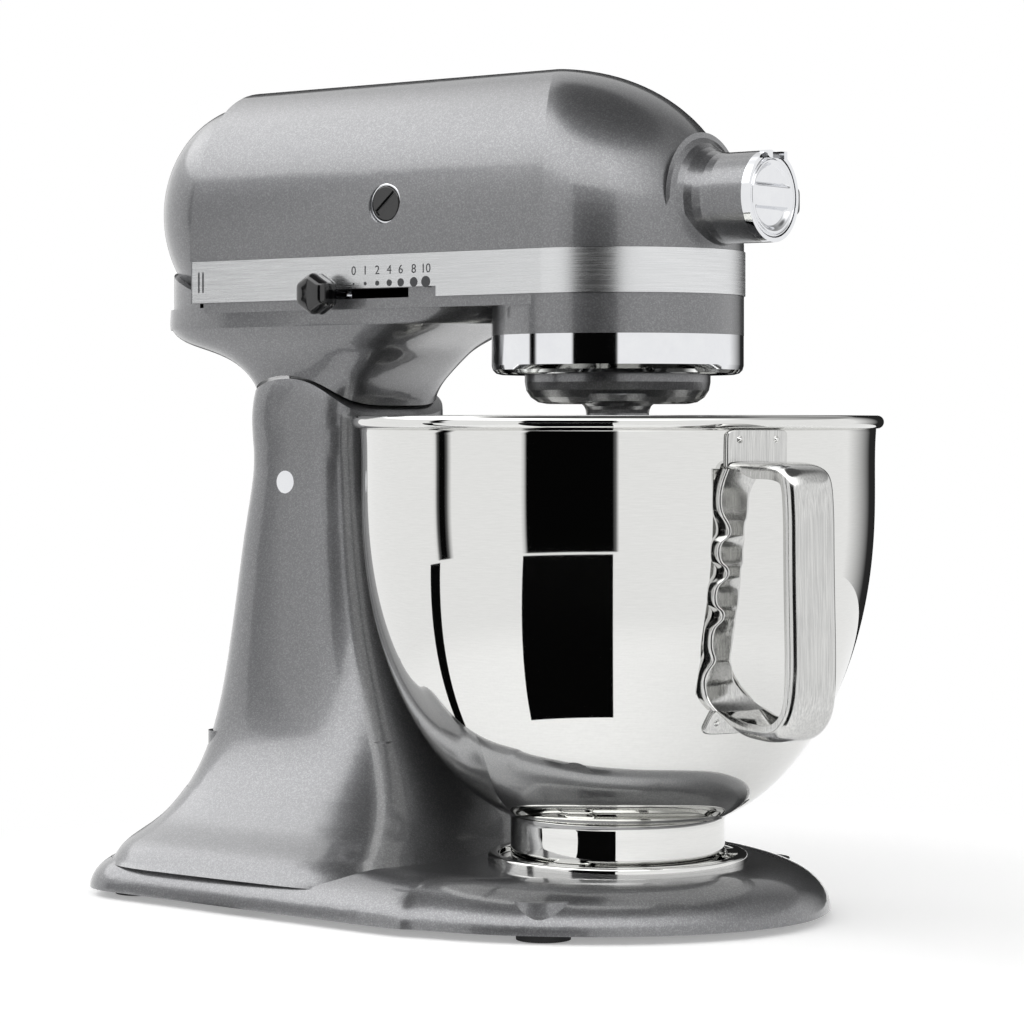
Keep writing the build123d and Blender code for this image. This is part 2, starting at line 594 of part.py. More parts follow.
def rear_cover():
    shell = rear_dome(0) - rear_dome(COVER_WALL)
    shell = (shell & cover_foot()) & block(HEAD_REAR_X - 90, HEAD_REAR_X, -100, 100, 0, 400)
    screw_z = COVER_CENTRE_Z
    screw_x = HEAD_REAR_X - COVER_DEPTH + 4
    shell -= rod((screw_x - 20, 0, screw_z), (screw_x + 20, 0, screw_z), 2.5)
    shell -= rod((screw_x - 20, 0, screw_z), (screw_x, 0, screw_z), 4.5)
    screw = rod((screw_x, 0, screw_z), (screw_x + 26, 0, screw_z), 2.5)
    screw += rod((screw_x - 2.4, 0, screw_z), (screw_x, 0, screw_z), 4.4)
    screw -= block(screw_x - 4, screw_x - 1.4, -4, 4, screw_z - 0.5, screw_z + 0.5)
    return largest(shell), screw


def largest(shape):
    return max(shape.solids(), key=lambda s: s.volume)


def lower_housing():
    top_z = COVER_FOOT_Z + COVER_FOOT_RISE + 10
    neck = stack(NECK_STATIONS)
    tail = stack([(z, TAIL_REAR_X, TAIL_FRONT_X, TAIL_HALF_WIDTH, TAIL_POWER) for z in (TAIL_LOW_Z, top_z)])
    tail = (tail & block(-400, HEAD_REAR_X, -200, 200, 0, 500)) - cover_foot()
    inner_tail = stack([(z, TAIL_REAR_X + 4, TAIL_FRONT_X, TAIL_HALF_WIDTH - 4, TAIL_POWER)
                        for z in (CAVITY_FLOOR_Z, top_z + 1)])
    tray = u_prism(HEAD_HALF_WIDTH - BAND_RECESS, HEAD_REAR_X, BAND_LOW_Z, SPLIT_Z)
    strip = u_prism(HEAD_HALF_WIDTH - 0.3, STRIP_REAR_X, STRIP_LOW_Z, BAND_LOW_Z)
    drum = rod((0, 0, TRIM_RING_Z[1]), (0, 0, BAND_LOW_Z), DRUM_R)
    skin = neck + [tail, tray, strip, drum]
    cavity = u_prism(CAVITY_HALF, HEAD_REAR_X, CAVITY_FLOOR_Z, SPLIT_Z + 1)
    cavity += inner_tail & block(-400, HEAD_REAR_X, -200, 200, CAVITY_FLOOR_Z, 400)
    skin -= [hinge_rod(SADDLE_R + SADDLE_GAP, 120), cavity]
    tongue_half = EAR_INNER_Y - TONGUE_GAP
    web = block(PIVOT_X - WEB_REACH[0], PIVOT_X + WEB_REACH[1], -tongue_half, tongue_half,
                PIVOT_Z, PIVOT_Z + SADDLE_R + SADDLE_GAP + 5)
    toe = block(PIVOT_X, PIVOT_X + TOE_REACH, -9, 9, SHELF_Z + 3.2, SHELF_Z + 14)
    bush_seat = tube((0, 0, CAVITY_FLOOR_Z - 1), (0, 0, BUSH_TOP_Z), BUSH_R + 4, BUSH_R)
    skin += [hinge_rod(KNUCKLE_R, tongue_half), web, toe, bush_seat]
    rest = TRIM_RING_Z[1]
    wx, wy = wheel_spot()
    x0, x1 = LEVER_X - LEVER_R - 0.6, LEVER_X + LEVER_TRAVEL + LEVER_R + 0.6
    lock_x0, lock_x1 = LOCK_X - ARM_HALF - 1, LOCK_X + LOCK_TRAVEL + ARM_HALF + 1
    skin -= [
        hinge_rod(PIVOT_R + RUN_CLEARANCE, 100),
        rod((0, 0, rest - 1), (0, 0, CAVITY_FLOOR_Z + 1), BUSH_R),
        rod((wx, wy, rest + 2.5), (wx, wy, CAVITY_FLOOR_Z + 1), WHEEL_SHAFT_R + RUN_CLEARANCE),
        block(x0, x1, -70, -CAVITY_HALF + 1, LEVER_Z - LEVER_R - 0.4, LEVER_Z + LEVER_R + 0.4),
        block(lock_x0, lock_x1, LATCH_Y[0] - 1, 70, LOCK_Z - 2.5, LOCK_Z + 2.5),
        block(lock_x0, lock_x1, LATCH_Y[0] - 1, LATCH_Y[1] + 1, PIVOT_Z, LOCK_Z + 2),
    ]
    return largest(skin)


def trim_band():
    high, low = BAND_HIGH_Z - 0.2, BAND_LOW_Z + 0.2
    outer = u_prism(HEAD_HALF_WIDTH + BAND_PROUD, BAND_REAR_X, low, high)
    inner = u_prism(HEAD_HALF_WIDTH + BAND_PROUD - BAND_T, BAND_REAR_X - 1, low - 1, high + 1)
    slot = block(SLOT_X[0], SLOT_X[1], -70, -40, low - 1, SLOT_HIGH_Z)
    return outer - inner - slot


def drip_ring():
    low, high = TRIM_RING_Z
    profile = [(DRUM_R - 7, high), (DRUM_R - 0.1, high), (DRUM_R - 0.1, low + 3.8)]
    profile += [(DRUM_R - 3.9 + 3.8 * cos(radians(t)), low + 3.8 - 3.8 * sin(radians(t))) for t in (30, 60, 90)]
    profile += [(DRUM_R - 7, low)]
    return spun(profile)


# ---------------------------------------------------------------- motor and gears
def wheel_spot():
    """Where the worm wheel's upright shaft stands: beside the worm, in mesh with the centre gear."""
    side = WORM_R + MODULE * WHEEL_TEETH / 2
    reach = MODULE * (CENTRE_TEETH + PINION_TEETH) / 2
    return -sqrt(reach ** 2 - side ** 2), side


def motor():
    c0, c1 = CORE_X
    half_y, half_z = STATOR_HALF
    core = block(c0, c1, -half_y, half_y, MOTOR_Z - half_z, MOTOR_Z + half_z)
    core = fillet(core.edges().filter_by(Axis.X), 9)
    core -= rod((c0 - 1, 0, MOTOR_Z), (c1 + 1, 0, MOTOR_Z), CORE_R + 0.8)
    for y in (-1, 1):
        core -= block(c0 - 1, c1 + 1, y * COIL_Y - 4, y * COIL_Y + 4, MOTOR_Z - 17, MOTOR_Z + 17)
    coils = []
    for y in (-1, 1):
        loop = block(c0 - 9, c1 + 9, y * COIL_Y - 4, y * COIL_Y + 4, MOTOR_Z - 17, MOTOR_Z + 17)
        loop -= block(c0 - 0.2, c1 + 0.2, -60, 60, MOTOR_Z - 9, MOTOR_Z + 9)
        coils.append(loop)
    core += block(c0, c1, COIL_Y - 4, COIL_Y + 4, MOTOR_Z - 8.8, MOTOR_Z + 8.8)
    core += block(c0, c1, -COIL_Y - 4, -COIL_Y + 4, MOTOR_Z - 8.8, MOTOR_Z + 8.8)
    core -= rod((c0 - 1, 0, MOTOR_Z), (c1 + 1, 0, MOTOR_Z), CORE_R + 0.8)
    shaft = rod((SHAFT_X[0], 0, MOTOR_Z), (WORM_X[0], 0, MOTOR_Z), SHAFT_R)
    shaft += rod((WORM_X[0], 0, MOTOR_Z), (WORM_X[1] + 1, 0, MOTOR_Z), WORM_BORE_R)
    stack_core = tube((c0, 0, MOTOR_Z), (c1, 0, MOTOR_Z), CORE_R, SHAFT_R)
    for k in range(12):
        spoke = Rot(X=30 * k) * block(c0 - 1, c1 + 1, -1.5, 1.5, CORE_R - 7, CORE_R + 1)
        stack_core -= Pos(0, 0, MOTOR_Z) * spoke
    windings = [tube((c0 - 8, 0, MOTOR_Z), (c0, 0, MOTOR_Z), CORE_R - 5, SHAFT_R),
                tube((c1, 0, MOTOR_Z), (c1 + 8, 0, MOTOR_Z), CORE_R - 5, SHAFT_R)]
    commutator = tube((BRUSH_X - 9, 0, MOTOR_Z), (BRUSH_X + 5, 0, MOTOR_Z), COMMUTATOR_R, SHAFT_R)
    for k in range(16):
        groove = Rot(X=22.5 * k) * block(BRUSH_X - 9, BRUSH_X + 9, -0.4, 0.4, COMMUTATOR_R - 0.8, COMMUTATOR_R + 1)
        commutator -= Pos(0, 0, MOTOR_Z) * groove
    fan = tube((FAN_X - 3, 0, MOTOR_Z), (FAN_X + 3, 0, MOTOR_Z), 10, SHAFT_R)
    for k in range(8):
        blade = Rot(X=45 * k) * (Pos(FAN_X, 0, 19.5) * Rot(Z=35) * Box(8, 1.4, 21))
        fan += Pos(0, 0, MOTOR_Z) * blade
    rear = ball_bearing(BRACKET_X[0] + 1, BRACKET_X[1], 11, SHAFT_R + RUN_CLEARANCE, MOTOR_Z)
    front = ball_bearing(GEARBOX_X[0], GEARBOX_X[1], 11, SHAFT_R + RUN_CLEARANCE, MOTOR_Z)
    bracket = block(*BRACKET_X, -24, 24, CAVITY_FLOOR_Z, MOTOR_Z + 16)
    bracket -= rod((BRACKET_X[0] - 1, 0, MOTOR_Z), (BRACKET_X[1] + 1, 0, MOTOR_Z), 11)
    bracket += tube((BRACKET_X[0], 0, MOTOR_Z), (BRACKET_X[0] + 1, 0, MOTOR_Z), 11.5, 8)
    holders, brushes, springs, caps = [], [], [], []
    for y in (-1, 1):
        def along(y0, y1, size):
            low, high = sorted((y * y0, y * y1))
            return block(BRUSH_X - size, BRUSH_X + size, low, high, MOTOR_Z - size, MOTOR_Z + size)
        holders.append(along(COMMUTATOR_R + 2, CAP_Y[0], 6.5) - along(COMMUTATOR_R, CAP_Y[0] + 1, 4))
        brushes.append(along(COMMUTATOR_R + 0.4, COMMUTATOR_R + 15, 4))
        springs.append(rod((BRUSH_X, y * (COMMUTATOR_R + 15), MOTOR_Z), (BRUSH_X, y * CAP_Y[0], MOTOR_Z), 2.4))
        cap = rod((BRUSH_X, y * CAP_Y[0], MOTOR_Z), (BRUSH_X, y * CAP_Y[1], MOTOR_Z), BRUSH_CAP_R)
        low, high = sorted((y * (CAP_Y[1] - 1.4), y * (CAP_Y[1] + 1)))
        slot = Pos(BRUSH_X, 0, MOTOR_Z) * Rot(Y=40) * block(-6.5, 6.5, low, high, -1.3, 1.3)
        caps.append(cap - slot)
    board = block(BOARD_X, BOARD_X + 2, -26, 26, MOTOR_Z - 16, MOTOR_Z + 30)
    board -= rod((BOARD_X - 5, 0, MOTOR_Z), (BOARD_X + 5, 0, MOTOR_Z), 12)
    board += block(BOARD_X - 8, BOARD_X, -18, -4, MOTOR_Z + 14, MOTOR_Z + 26)
    board += block(BOARD_X - 7, BOARD_X, 4, 20, MOTOR_Z + 14, MOTOR_Z + 22)
    return {"stator_core": core, "stator_coils": group(coils), "armature_shaft": shaft,
            "armature_core": stack_core, "armature_windings": group(windings), "commutator": commutator,
            "cooling_fan": fan, "armature_bearings": group([rear, front]),
            "rear_bearing_bracket": bracket, "brush_holders": group(holders),
            "carbon_brushes": group(brushes), "brush_springs": group(springs),
            "brush_caps": group(caps), "speed_control_board": board}


def worm():
    """A one-start worm: a core with a helical thread, which advances one pitch a turn."""
    pitch = pi * MODULE
    core = tube((WORM_X[0], 0, MOTOR_Z), (WORM_X[1], 0, MOTOR_Z), WORM_R - 1.9, WORM_BORE_R)
    turns = (WORM_X[1] - WORM_X[0] - 2 * pitch) / pitch
    root, tip = WORM_R - 2.2, WORM_R + 0.7
    helix = Edge.make_helix(pitch, turns * pitch, root)
    start = helix @ 0
    section = Face(Wire.make_polygon([start + Vector(0, 0, -1.15), start + Vector(tip - root, 0, -0.42),
                                      start + Vector(tip - root, 0, 0.42), start + Vector(0, 0, 1.15)], close=True))
    thread = Solid.sweep(section, helix, is_frenet=True)
    return core, thread


def gears():
    wx, wy = wheel_spot()
    z0, z1 = CENTRE_GEAR_Z
    mesh_angle = degrees(atan2(wy, wx))
    wheel = Pos(wx, wy, 0) * spur_gear(WHEEL_TEETH, MODULE, 0, MOTOR_Z - 2.5, MOTOR_Z + 2.5,
                                       WHEEL_SHAFT_R)
    pinion = Pos(wx, wy, 0) * spur_gear(PINION_TEETH, MODULE, mesh_angle + 180 + 180 / PINION_TEETH,
                                        z0, z1, WHEEL_SHAFT_R)
    shaft = rod((wx, wy, TRIM_RING_Z[1] + 3), (wx, wy, ARM_Z[1] + 2), WHEEL_SHAFT_R)
    centre = spur_gear(CENTRE_TEETH, MODULE, mesh_angle, z0, z1, PLANET_SHAFT_R)
    crown_r = MODULE * CROWN_TEETH / 2
    pitch_z = HUB_Z - MODULE * HUB_TEETH / 2
    web_top = pitch_z - 1.15 * MODULE
    centre += tube((0, 0, z1), (0, 0, web_top), crown_r + GEAR_FACE / 2, crown_r - GEAR_FACE / 2)
    centre += tube((0, 0, z1), (0, 0, web_top), PLANET_SHAFT_R + 4, PLANET_SHAFT_R)
    teeth = []
    half = pi * MODULE / 2 * TOOTH_SHARE
    for k in range(CROWN_TEETH):
        outline = [(-half * 1.55, web_top - 0.3), (half * 1.55, web_top - 0.3),
                   (half * 0.62, pitch_z + 0.7 * MODULE), (-half * 0.62, pitch_z + 0.7 * MODULE)]
        face = make_face(Polyline(*[(crown_r - GEAR_FACE / 2, y, z) for y, z in outline], close=True))
        teeth.append(Rot(Z=360 * k / CROWN_TEETH) * extrude(face, GEAR_FACE, dir=(1, 0, 0)))
    centre = centre.fuse(*teeth)
    planet_shaft = rod((0, 0, PLANETARY_Z[0] + 6), (0, 0, web_top + 1), PLANET_SHAFT_R)
    bush = tube((0, 0, TRIM_RING_Z[1]), (0, 0, BUSH_TOP_Z), BUSH_R, PLANET_SHAFT_R + RUN_CLEARANCE)
    hub_gear = Pos(crown_r - 2.5, 0, HUB_Z) * Rot(Y=90) * spur_gear(
        HUB_TEETH, MODULE, 180 / HUB_TEETH, 0, 5, HUB_SHAFT_R)
    drive = rod((crown_r - 6, 0, HUB_Z), (HUB_SEAT_X[1] + 10, 0, HUB_Z), HUB_SHAFT_R)
    drive += rod((HUB_SEAT_X[1] + 0.3, 0, HUB_Z), (HUB_SEAT_X[1] + 10, 0, HUB_Z), HUB_BORE_R - 2.5)
    drive -= block(HUB_SEAT_X[1] - 6, HUB_SEAT_X[1] + 11, -4.2, 4.2, HUB_Z - 4.2, HUB_Z + 4.2)
    g0, g1 = GEARBOX_X
    bracket = block(g0, g1, -26, 36, CAVITY_FLOOR_Z, MOTOR_Z + 16)
    bracket += block(g0, wx + 9, wy - 9, wy + 9, ARM_Z[0], ARM_Z[1])
    bracket -= rod((g0 - 1, 0, MOTOR_Z), (g1 + 1, 0, MOTOR_Z), 11)
    bracket -= rod((wx, wy, ARM_Z[0] - 1), (wx, wy, ARM_Z[1] + 1), WHEEL_SHAFT_R + RUN_CLEARANCE)
    ring_low, ring_high = RING_GEAR_Z
    teeth_face = make_face(Polyline(*[(x, y, ring_low) for x, y in
                                      spur_outline(RING_TEETH, MODULE, BEATER_SIDE, outward=False)], close=True))
    ring = rod((0, 0, ring_low), (0, 0, ring_high), DRUM_R - 8)
    ring -= extrude(teeth_face, ring_high - ring_low, dir=(0, 0, 1))
    ring += tube((0, 0, ring_high), (0, 0, TRIM_RING_Z[1]), DRUM_R - 8, DRUM_R - 14)
    core, thread = worm()
    return {"worm_wheel": wheel, "drive_pinion": pinion, "wheel_shaft": shaft, "centre_gear": centre,
            "planetary_shaft": planet_shaft, "planetary_bush": bush, "hub_gear": hub_gear,
            "hub_drive_shaft": drive, "gearbox_bracket": bracket, "ring_gear": ring,
            "worm": worm_body(core, thread)}


def worm_body(core, thread):
    placed = Pos(WORM_X[0] + pi * MODULE, 0, MOTOR_Z) * Rot(Y=90) * Rot(Z=WORM_PHASE) * thread
    return core + placed


def planetary():
    x, y = (BEATER_OFFSET * f(radians(BEATER_SIDE)) for f in (cos, sin))
    low, high = PLANETARY_Z
    r = PLANETARY_R
    edge = 9.0
    profile = [(0, high), (r, high), (r, low + edge)]
    profile += [(r - edge + edge * cos(radians(t)), low + edge - edge * sin(radians(t))) for t in (22, 45, 68, 90)]
    profile += [(0, low)]
    body = spun(profile)
    collar = [(0, low + 6), (NECK_COLLAR_R + 6, low + 4)]
    for k in range(6):
        t = radians(90 * k / 5)
        collar.append((NECK_COLLAR_R + 5 * (1 - sin(t)), low - 5 * (1 - cos(t)) + 1))
    collar += [(NECK_COLLAR_R, COLLAR_LOW_Z + 3), (NECK_COLLAR_R - 3, COLLAR_LOW_Z), (0, COLLAR_LOW_Z)]
    body += Pos(x, y, 0) * spun(collar) & rod((0, 0, 100), (0, 0, 300), r)
    body -= rod((0, 0, low + 6), (0, 0, high + 1), PLANET_SHAFT_R)
    body -= rod((x, y, 100), (x, y, 300), BEATER_SHAFT_R + RUN_CLEARANCE)
    pin_r = 2.2
    shaft = rod((x, y, BEATER_TIP_Z), (x, y, RING_GEAR_Z[0] + GEAR_FACE), BEATER_SHAFT_R)
    angle = radians(BEATER_SIDE + 90)
    reach = BEATER_SHAFT_R + 4.5
    pin_z = BEATER_TIP_Z + 15
    ends = [(x + s * reach * cos(angle), y + s * reach * sin(angle), pin_z) for s in (-1, 1)]
    pin = rod(ends[0], ends[1], pin_r)
    shaft -= pin
    gear = Pos(x, y, 0) * spur_gear(BEATER_TEETH, MODULE, BEATER_SIDE + 180 / BEATER_TEETH,
                                    RING_GEAR_Z[0], RING_GEAR_Z[0] + 6, BEATER_SHAFT_R)
    washer = tube((x, y, COLLAR_LOW_Z - 1.5), (x, y, COLLAR_LOW_Z - 0.3), BEATER_SHAFT_R + 3, BEATER_SHAFT_R)
    return {"planetary": body, "beater_shaft": shaft, "beater_pin": pin, "beater_gear": gear,
            "beater_washer": washer}


# ---------------------------------------------------------------- hub front and controls
def faceted_knob(radius, length):
    """A six-sided knob with softened corners and a domed end, standing along Z from z = 0."""
    prism = extrude(RegularPolygon(radius / cos(pi / 6), 6), length)
    round_bar = Cylinder(radius * 1.06, length * 2)
    dome = Pos(0, 0, length - radius * 1.9) * Sphere(radius * 1.93)
    stem = Pos(0, 0, length * 0.1) * Cylinder(radius * 0.8, length * 0.2)
    body = prism & round_bar & dome & (Pos(0, 0, length * 0.6) * Box(60, 60, length * 0.9))
    return body + stem


def hub_front():
    face, px, pz = HUB_FACE_X, *HUB_PIVOT
    ring = tube((face, 0, HUB_Z), (face + HUB_RING_T, 0, HUB_Z), HUB_R, HUB_RING_INNER_R)
    for y in (-1, 1):
        low, high = sorted((y * 4.2, y * 6.5))
        ring += block(face + 1, px + 1.8, low, high, pz - 1.2, HUB_Z + HUB_R - 0.4)
    pin = rod((px, -6.5, pz), (px, 6.5, pz), 0.9)
    ring -= [pin, block(px - 2.2, px + 3, -4.1, 4.1, pz - 2.2, pz + 10)]
    disc = rod((face + 0.3, 0, HUB_Z), (face + HUB_RING_T, 0, HUB_Z), HUB_COVER_R)
    disc += rod((px, -3.8, pz), (px, 3.8, pz), 1.8)
    disc -= rod((px, -10, pz), (px, 10, pz), 0.9 + RUN_CLEARANCE)
    for y in (-1, 1):
        low, high = sorted((y * 3.8, y * 8))
        disc -= block(face, px + 3, low, high, pz - 2.2, HUB_Z + 30)
    scoop = rod((face + HUB_RING_T - 1.2, 0, HUB_Z), (face + HUB_RING_T + 5, 0, HUB_Z), HUB_COVER_R - 3)
    disc -= scoop - block(face, face + 9, -30, 30, HUB_Z - 4, HUB_Z + 4)
    knob = Pos(KNOB_X, HUB_R + 4.2, HUB_Z) * Rot(X=-90) * faceted_knob(KNOB_R, KNOB_LENGTH)
    screw = rod((KNOB_X, HUB_BORE_R - 0.6, HUB_Z), (KNOB_X, HUB_R + 4.2, HUB_Z), KNOB_SCREW_R)
    return {"hub_ring": ring, "hub_cover": largest(disc), "hub_cover_pin": pin, "hub_knob": knob,
            "hub_knob_screw": screw}


def controls():
    y0 = -HEAD_HALF_WIDTH - LEVER_STEM
    stem = rod((LEVER_X, y0, LEVER_Z), (LEVER_X, -CAVITY_HALF + 2, LEVER_Z), LEVER_R)
    link = block(LINK_REAR_X, LEVER_X + 3, -CAVITY_HALF + 1, -CAVITY_HALF + 3, LEVER_Z - 2, LEVER_Z + 1.7)
    knob = Pos(LEVER_X, y0, LEVER_Z) * Rot(X=90) * faceted_knob(SPEED_KNOB_R, KNOB_LENGTH)
    x0, x1 = LOCK_X - ARM_HALF, LOCK_X + ARM_HALF
    arm = block(x0, x1, LATCH_Y[0], LOCK_KNOB_Y, LOCK_Z - 1.5, LOCK_Z + 1.5)
    drop = block(x0, x1, LATCH_Y[0], LATCH_Y[1], LATCH_Z[0], LOCK_Z + 1.5)
    wall = pedestal_face(PIVOT_Z, front=True) - PEDESTAL_WALL
    nose = block(LOCK_X, wall - 1, *LATCH_Y, *LATCH_Z)
    lock_knob = Pos(LOCK_X, LOCK_KNOB_Y, LOCK_Z) * Rot(X=-90) * faceted_knob(LOCK_KNOB_R, LOCK_KNOB_R * 1.2)
    return {"speed_lever": stem + link, "speed_knob": knob, "lock_lever": arm + drop + nose,
            "lock_knob": lock_knob}


# ---------------------------------------------------------------- bowl
def bowl():
    outside = [Vector(r, 0, z) for r, z in BOWL_OUTLINE]
    inside = [Vector(max(r - BOWL_WALL, 0), 0, z + (BOWL_WALL if r < 60 else BOWL_WALL * (1 - r / 108)))
              for r, z in BOWL_OUTLINE]
    floor_z = BOWL_OUTLINE[-1][1] - 0.6
    top = BOWL_TOP_Z
    profile = Wire([
        Edge.make_spline(outside),
        Edge.make_line(outside[-1], Vector(BOWL_FLOOR_R, 0, floor_z)),
        Edge.make_line(Vector(BOWL_FLOOR_R, 0, floor_z), Vector(0, 0, floor_z)),
        Edge.make_line(Vector(0, 0, floor_z), Vector(0, 0, floor_z + BOWL_WALL)),
        Edge.make_line(Vector(0, 0, floor_z + BOWL_WALL), Vector(BOWL_FLOOR_R, 0, floor_z + BOWL_WALL)),
        Edge.make_line(Vector(BOWL_FLOOR_R, 0, floor_z + BOWL_WALL), inside[-1]),
        Edge.make_spline(inside[::-1]),
        Edge.make_line(inside[0], Vector(inside[0].X, 0, top - BEAD_R)),
        Edge.make_line(Vector(inside[0].X, 0, top - BEAD_R), Vector(outside[0].X, 0, top - BEAD_R)),
        Edge.make_line(Vector(outside[0].X, 0, top - BEAD_R), outside[0]),
    ])
    shell = revolve(Face(profile), Axis.Z, 360)
    shell += Pos(0, 0, top - BEAD_R) * Torus(BOWL_RIM_R - BEAD_R, BEAD_R)
    low, high = FOOT_RING_Z
    foot = spun([(FOOT_RING_R - 1.4, low), (FOOT_RING_R, low), (FOOT_RING_R, high - 6),
                 (FOOT_RING_R + FOOT_FLARE, high), (FOOT_RING_R + FOOT_FLARE, high + 6), (FOOT_RING_R - 1.4, high + 6)])
    foot = largest(foot - outer_bowl())
    for k in range(BAYONET_COUNT):
        middle = LUG_ANGLE + 360 * k / BAYONET_COUNT
        foot += sector(FOOT_RING_R - 0.7, LUG_R, middle - LUG_SPAN, middle + LUG_SPAN, *LUG_Z)
    return {"bowl_shell": shell, "bowl_foot": foot}


def outer_bowl(grow=0.0):
    """The bowl's outer surface as a filled body, or one that stands off from it by grow."""
    outside = [Vector(r + grow, 0, z) for r, z in BOWL_OUTLINE]
    floor_z = BOWL_OUTLINE[-1][1] - 0.6
    profile = Wire([
        Edge.make_spline(outside),
        Edge.make_line(outside[-1], Vector(BOWL_FLOOR_R, 0, floor_z)),
        Edge.make_line(Vector(BOWL_FLOOR_R, 0, floor_z), Vector(0, 0, floor_z)),
        Edge.make_line(Vector(0, 0, floor_z), Vector(0, 0, outside[0].Z)),
        Edge.make_line(Vector(0, 0, outside[0].Z), outside[0]),
    ])
    return revolve(Face(profile), Axis.Z, 360)


def bowl_radius(z):
    """Outer radius of the bowl at height z, by straight lines between outline points."""
    for high, low in zip(BOWL_OUTLINE, BOWL_OUTLINE[1:]):
        if low[1] <= z <= high[1]:
            return low[0] + (high[0] - low[0]) * (z - low[1]) / (high[1] - low[1])
    raise ValueError("height outside the bowl")


def strip_solid(points, width, thickness):
    """A flat strip whose middle line is a smooth curve through (radius, z) points."""
    line = Edge.make_spline([Vector(r, 0, z) for r, z in points])
    out, back = [], []
    for k in range(25):
        p, t = line @ (k / 24), line % (k / 24)
        n = Vector(t.Z, 0, -t.X).normalized() * (thickness / 2)
        out.append(p + n)
        back.append(p - n)
    face = Face(Wire([Edge.make_spline(out), Edge.make_line(out[-1], back[-1]),
                      Edge.make_spline(back[::-1]), Edge.make_line(back[0], out[0])]))
    return Pos(0, -width / 2, 0) * extrude(face, width, dir=(0, 1, 0))


def handle():
    """Strap, grip plate, two brackets and their rivets, made at angle zero and turned into place."""
    top_z, low_z, out = HANDLE_TOP_Z, HANDLE_LOW_Z, HANDLE_OUTER_R
    top_r, low_r = bowl_radius(top_z) + BRACKET_T, bowl_radius(low_z) + BRACKET_T
    run_z = top_z - HANDLE_T / 2
    line = [(top_r - 1, run_z), (top_r + 12, run_z), (out - 14, run_z - 0.2), (out - 4.5, run_z - 3.4),
            (out - 1.6, run_z - 12), (out - 0.8, run_z - 30), (out, run_z - 62), (out, low_z + 22),
            (out - 3, low_z + 9.5), (out - 13, low_z + 1.6), (out - 28, low_z + 0.2), (low_r + 18, low_z + 2.2),
            (low_r + 9, low_z + 6.8), (low_r + 4, low_z + 9.2)]
    strap = strip_solid(line, HANDLE_WIDTH, HANDLE_T)
    strap += block(top_r - 2, top_r + ROOT_REACH, *ROOT_Y, top_z - HANDLE_T, top_z)
    strap = largest(strap - outer_bowl(BRACKET_T))
    grip_line = [(top_r + 8, top_z - HANDLE_T - 0.5)]
    for scoop, land in zip(GRIP_SCOOPS, GRIP_LANDS):
        grip_line.append((bowl_radius(scoop) + GRIP_STAND, scoop))
        grip_line.append((bowl_radius(land) + GRIP_STAND + FINGER_DEPTH, land))
    grip_line += [(bowl_radius(low_z + 21) + GRIP_STAND - 0.8, low_z + 21), (low_r + 9.5, low_z + 13),
                  (low_r + 15, low_z + 4)]
    grip = Pos(0, GRIP_SHIFT, 0) * strip_solid(grip_line, GRIP_WIDTH, GRIP_T)
    grip -= strap
    skin = outer_bowl(BRACKET_T) - outer_bowl()
    half = BRACKET_WIDTH / 2
    upper = largest(skin & block(0, 200, -half, half, *UPPER_PLATE_Z))
    lower = largest(skin & block(0, 200, -half * 0.8, half * 0.8, *LOWER_PLATE_Z))
    rivets, holes = [], []
    for y, z in ((-half * 0.6, RIVET_Z[0]), (half * 0.6, RIVET_Z[0]), (-half * 0.52, RIVET_Z[1])):
        normal = Vector(4, 0, bowl_radius(z - 2) - bowl_radius(z + 2)).normalized()
        wall = Vector(sqrt(bowl_radius(z) ** 2 - y ** 2), y, z)
        inside, face = wall - normal * (BOWL_WALL + 1.5), wall + normal * (BRACKET_T + 0.3)
        rivets.append(rod(inside, face, RIVET_R) + rod(face - normal * 0.6, face + normal * 0.6, RIVET_R * 1.6))
        holes.append(rod(inside - normal * 5, face + normal * 9, RIVET_R))
    plates = [plate - holes - group(rivets) for plate in (upper, lower)]
    turn = Rot(Z=HANDLE_ANGLE)
    nodes = {"handle_strap": strap, "handle_grip": largest(grip), "handle_brackets": group(plates),
             "handle_rivets": group(rivets)}
    return {name: turn * shape for name, shape in nodes.items()}, [turn * hole for hole in holes]


# ---------------------------------------------------------------- assembly
def everything():
    nodes = {}
    nodes.update(base())
    nodes.update(pedestal())
    cover, cover_screw = rear_cover()
    nodes.update({"upper_housing": upper_housing(), "lower_housing": lower_housing(), "rear_cover": cover,
                  "rear_cover_screw": cover_screw, "trim_band": trim_band(), "drip_ring": drip_ring()})
    nodes.update(motor())
    nodes.update(gears())
    nodes.update(planetary())
    nodes.update(hub_front())
    nodes.update(controls())
    nodes.update(bowl())
    pieces, holes = handle()
    nodes["bowl_shell"] -= holes
    nodes.update(pieces)
    return nodes


os.makedirs("parts", exist_ok=True)
for name, shape in everything().items():
    export_step(shape, f"parts/{name}.step")
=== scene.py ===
# %% [markdown]
# # A tilt-head stand mixer, dressed in Blender
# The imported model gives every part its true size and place.
# This lesson keeps that frame fixed and builds the visible skins, metals and paints around it.
# Each step says what the real piece is, how it could be made, and why it is made this way here.

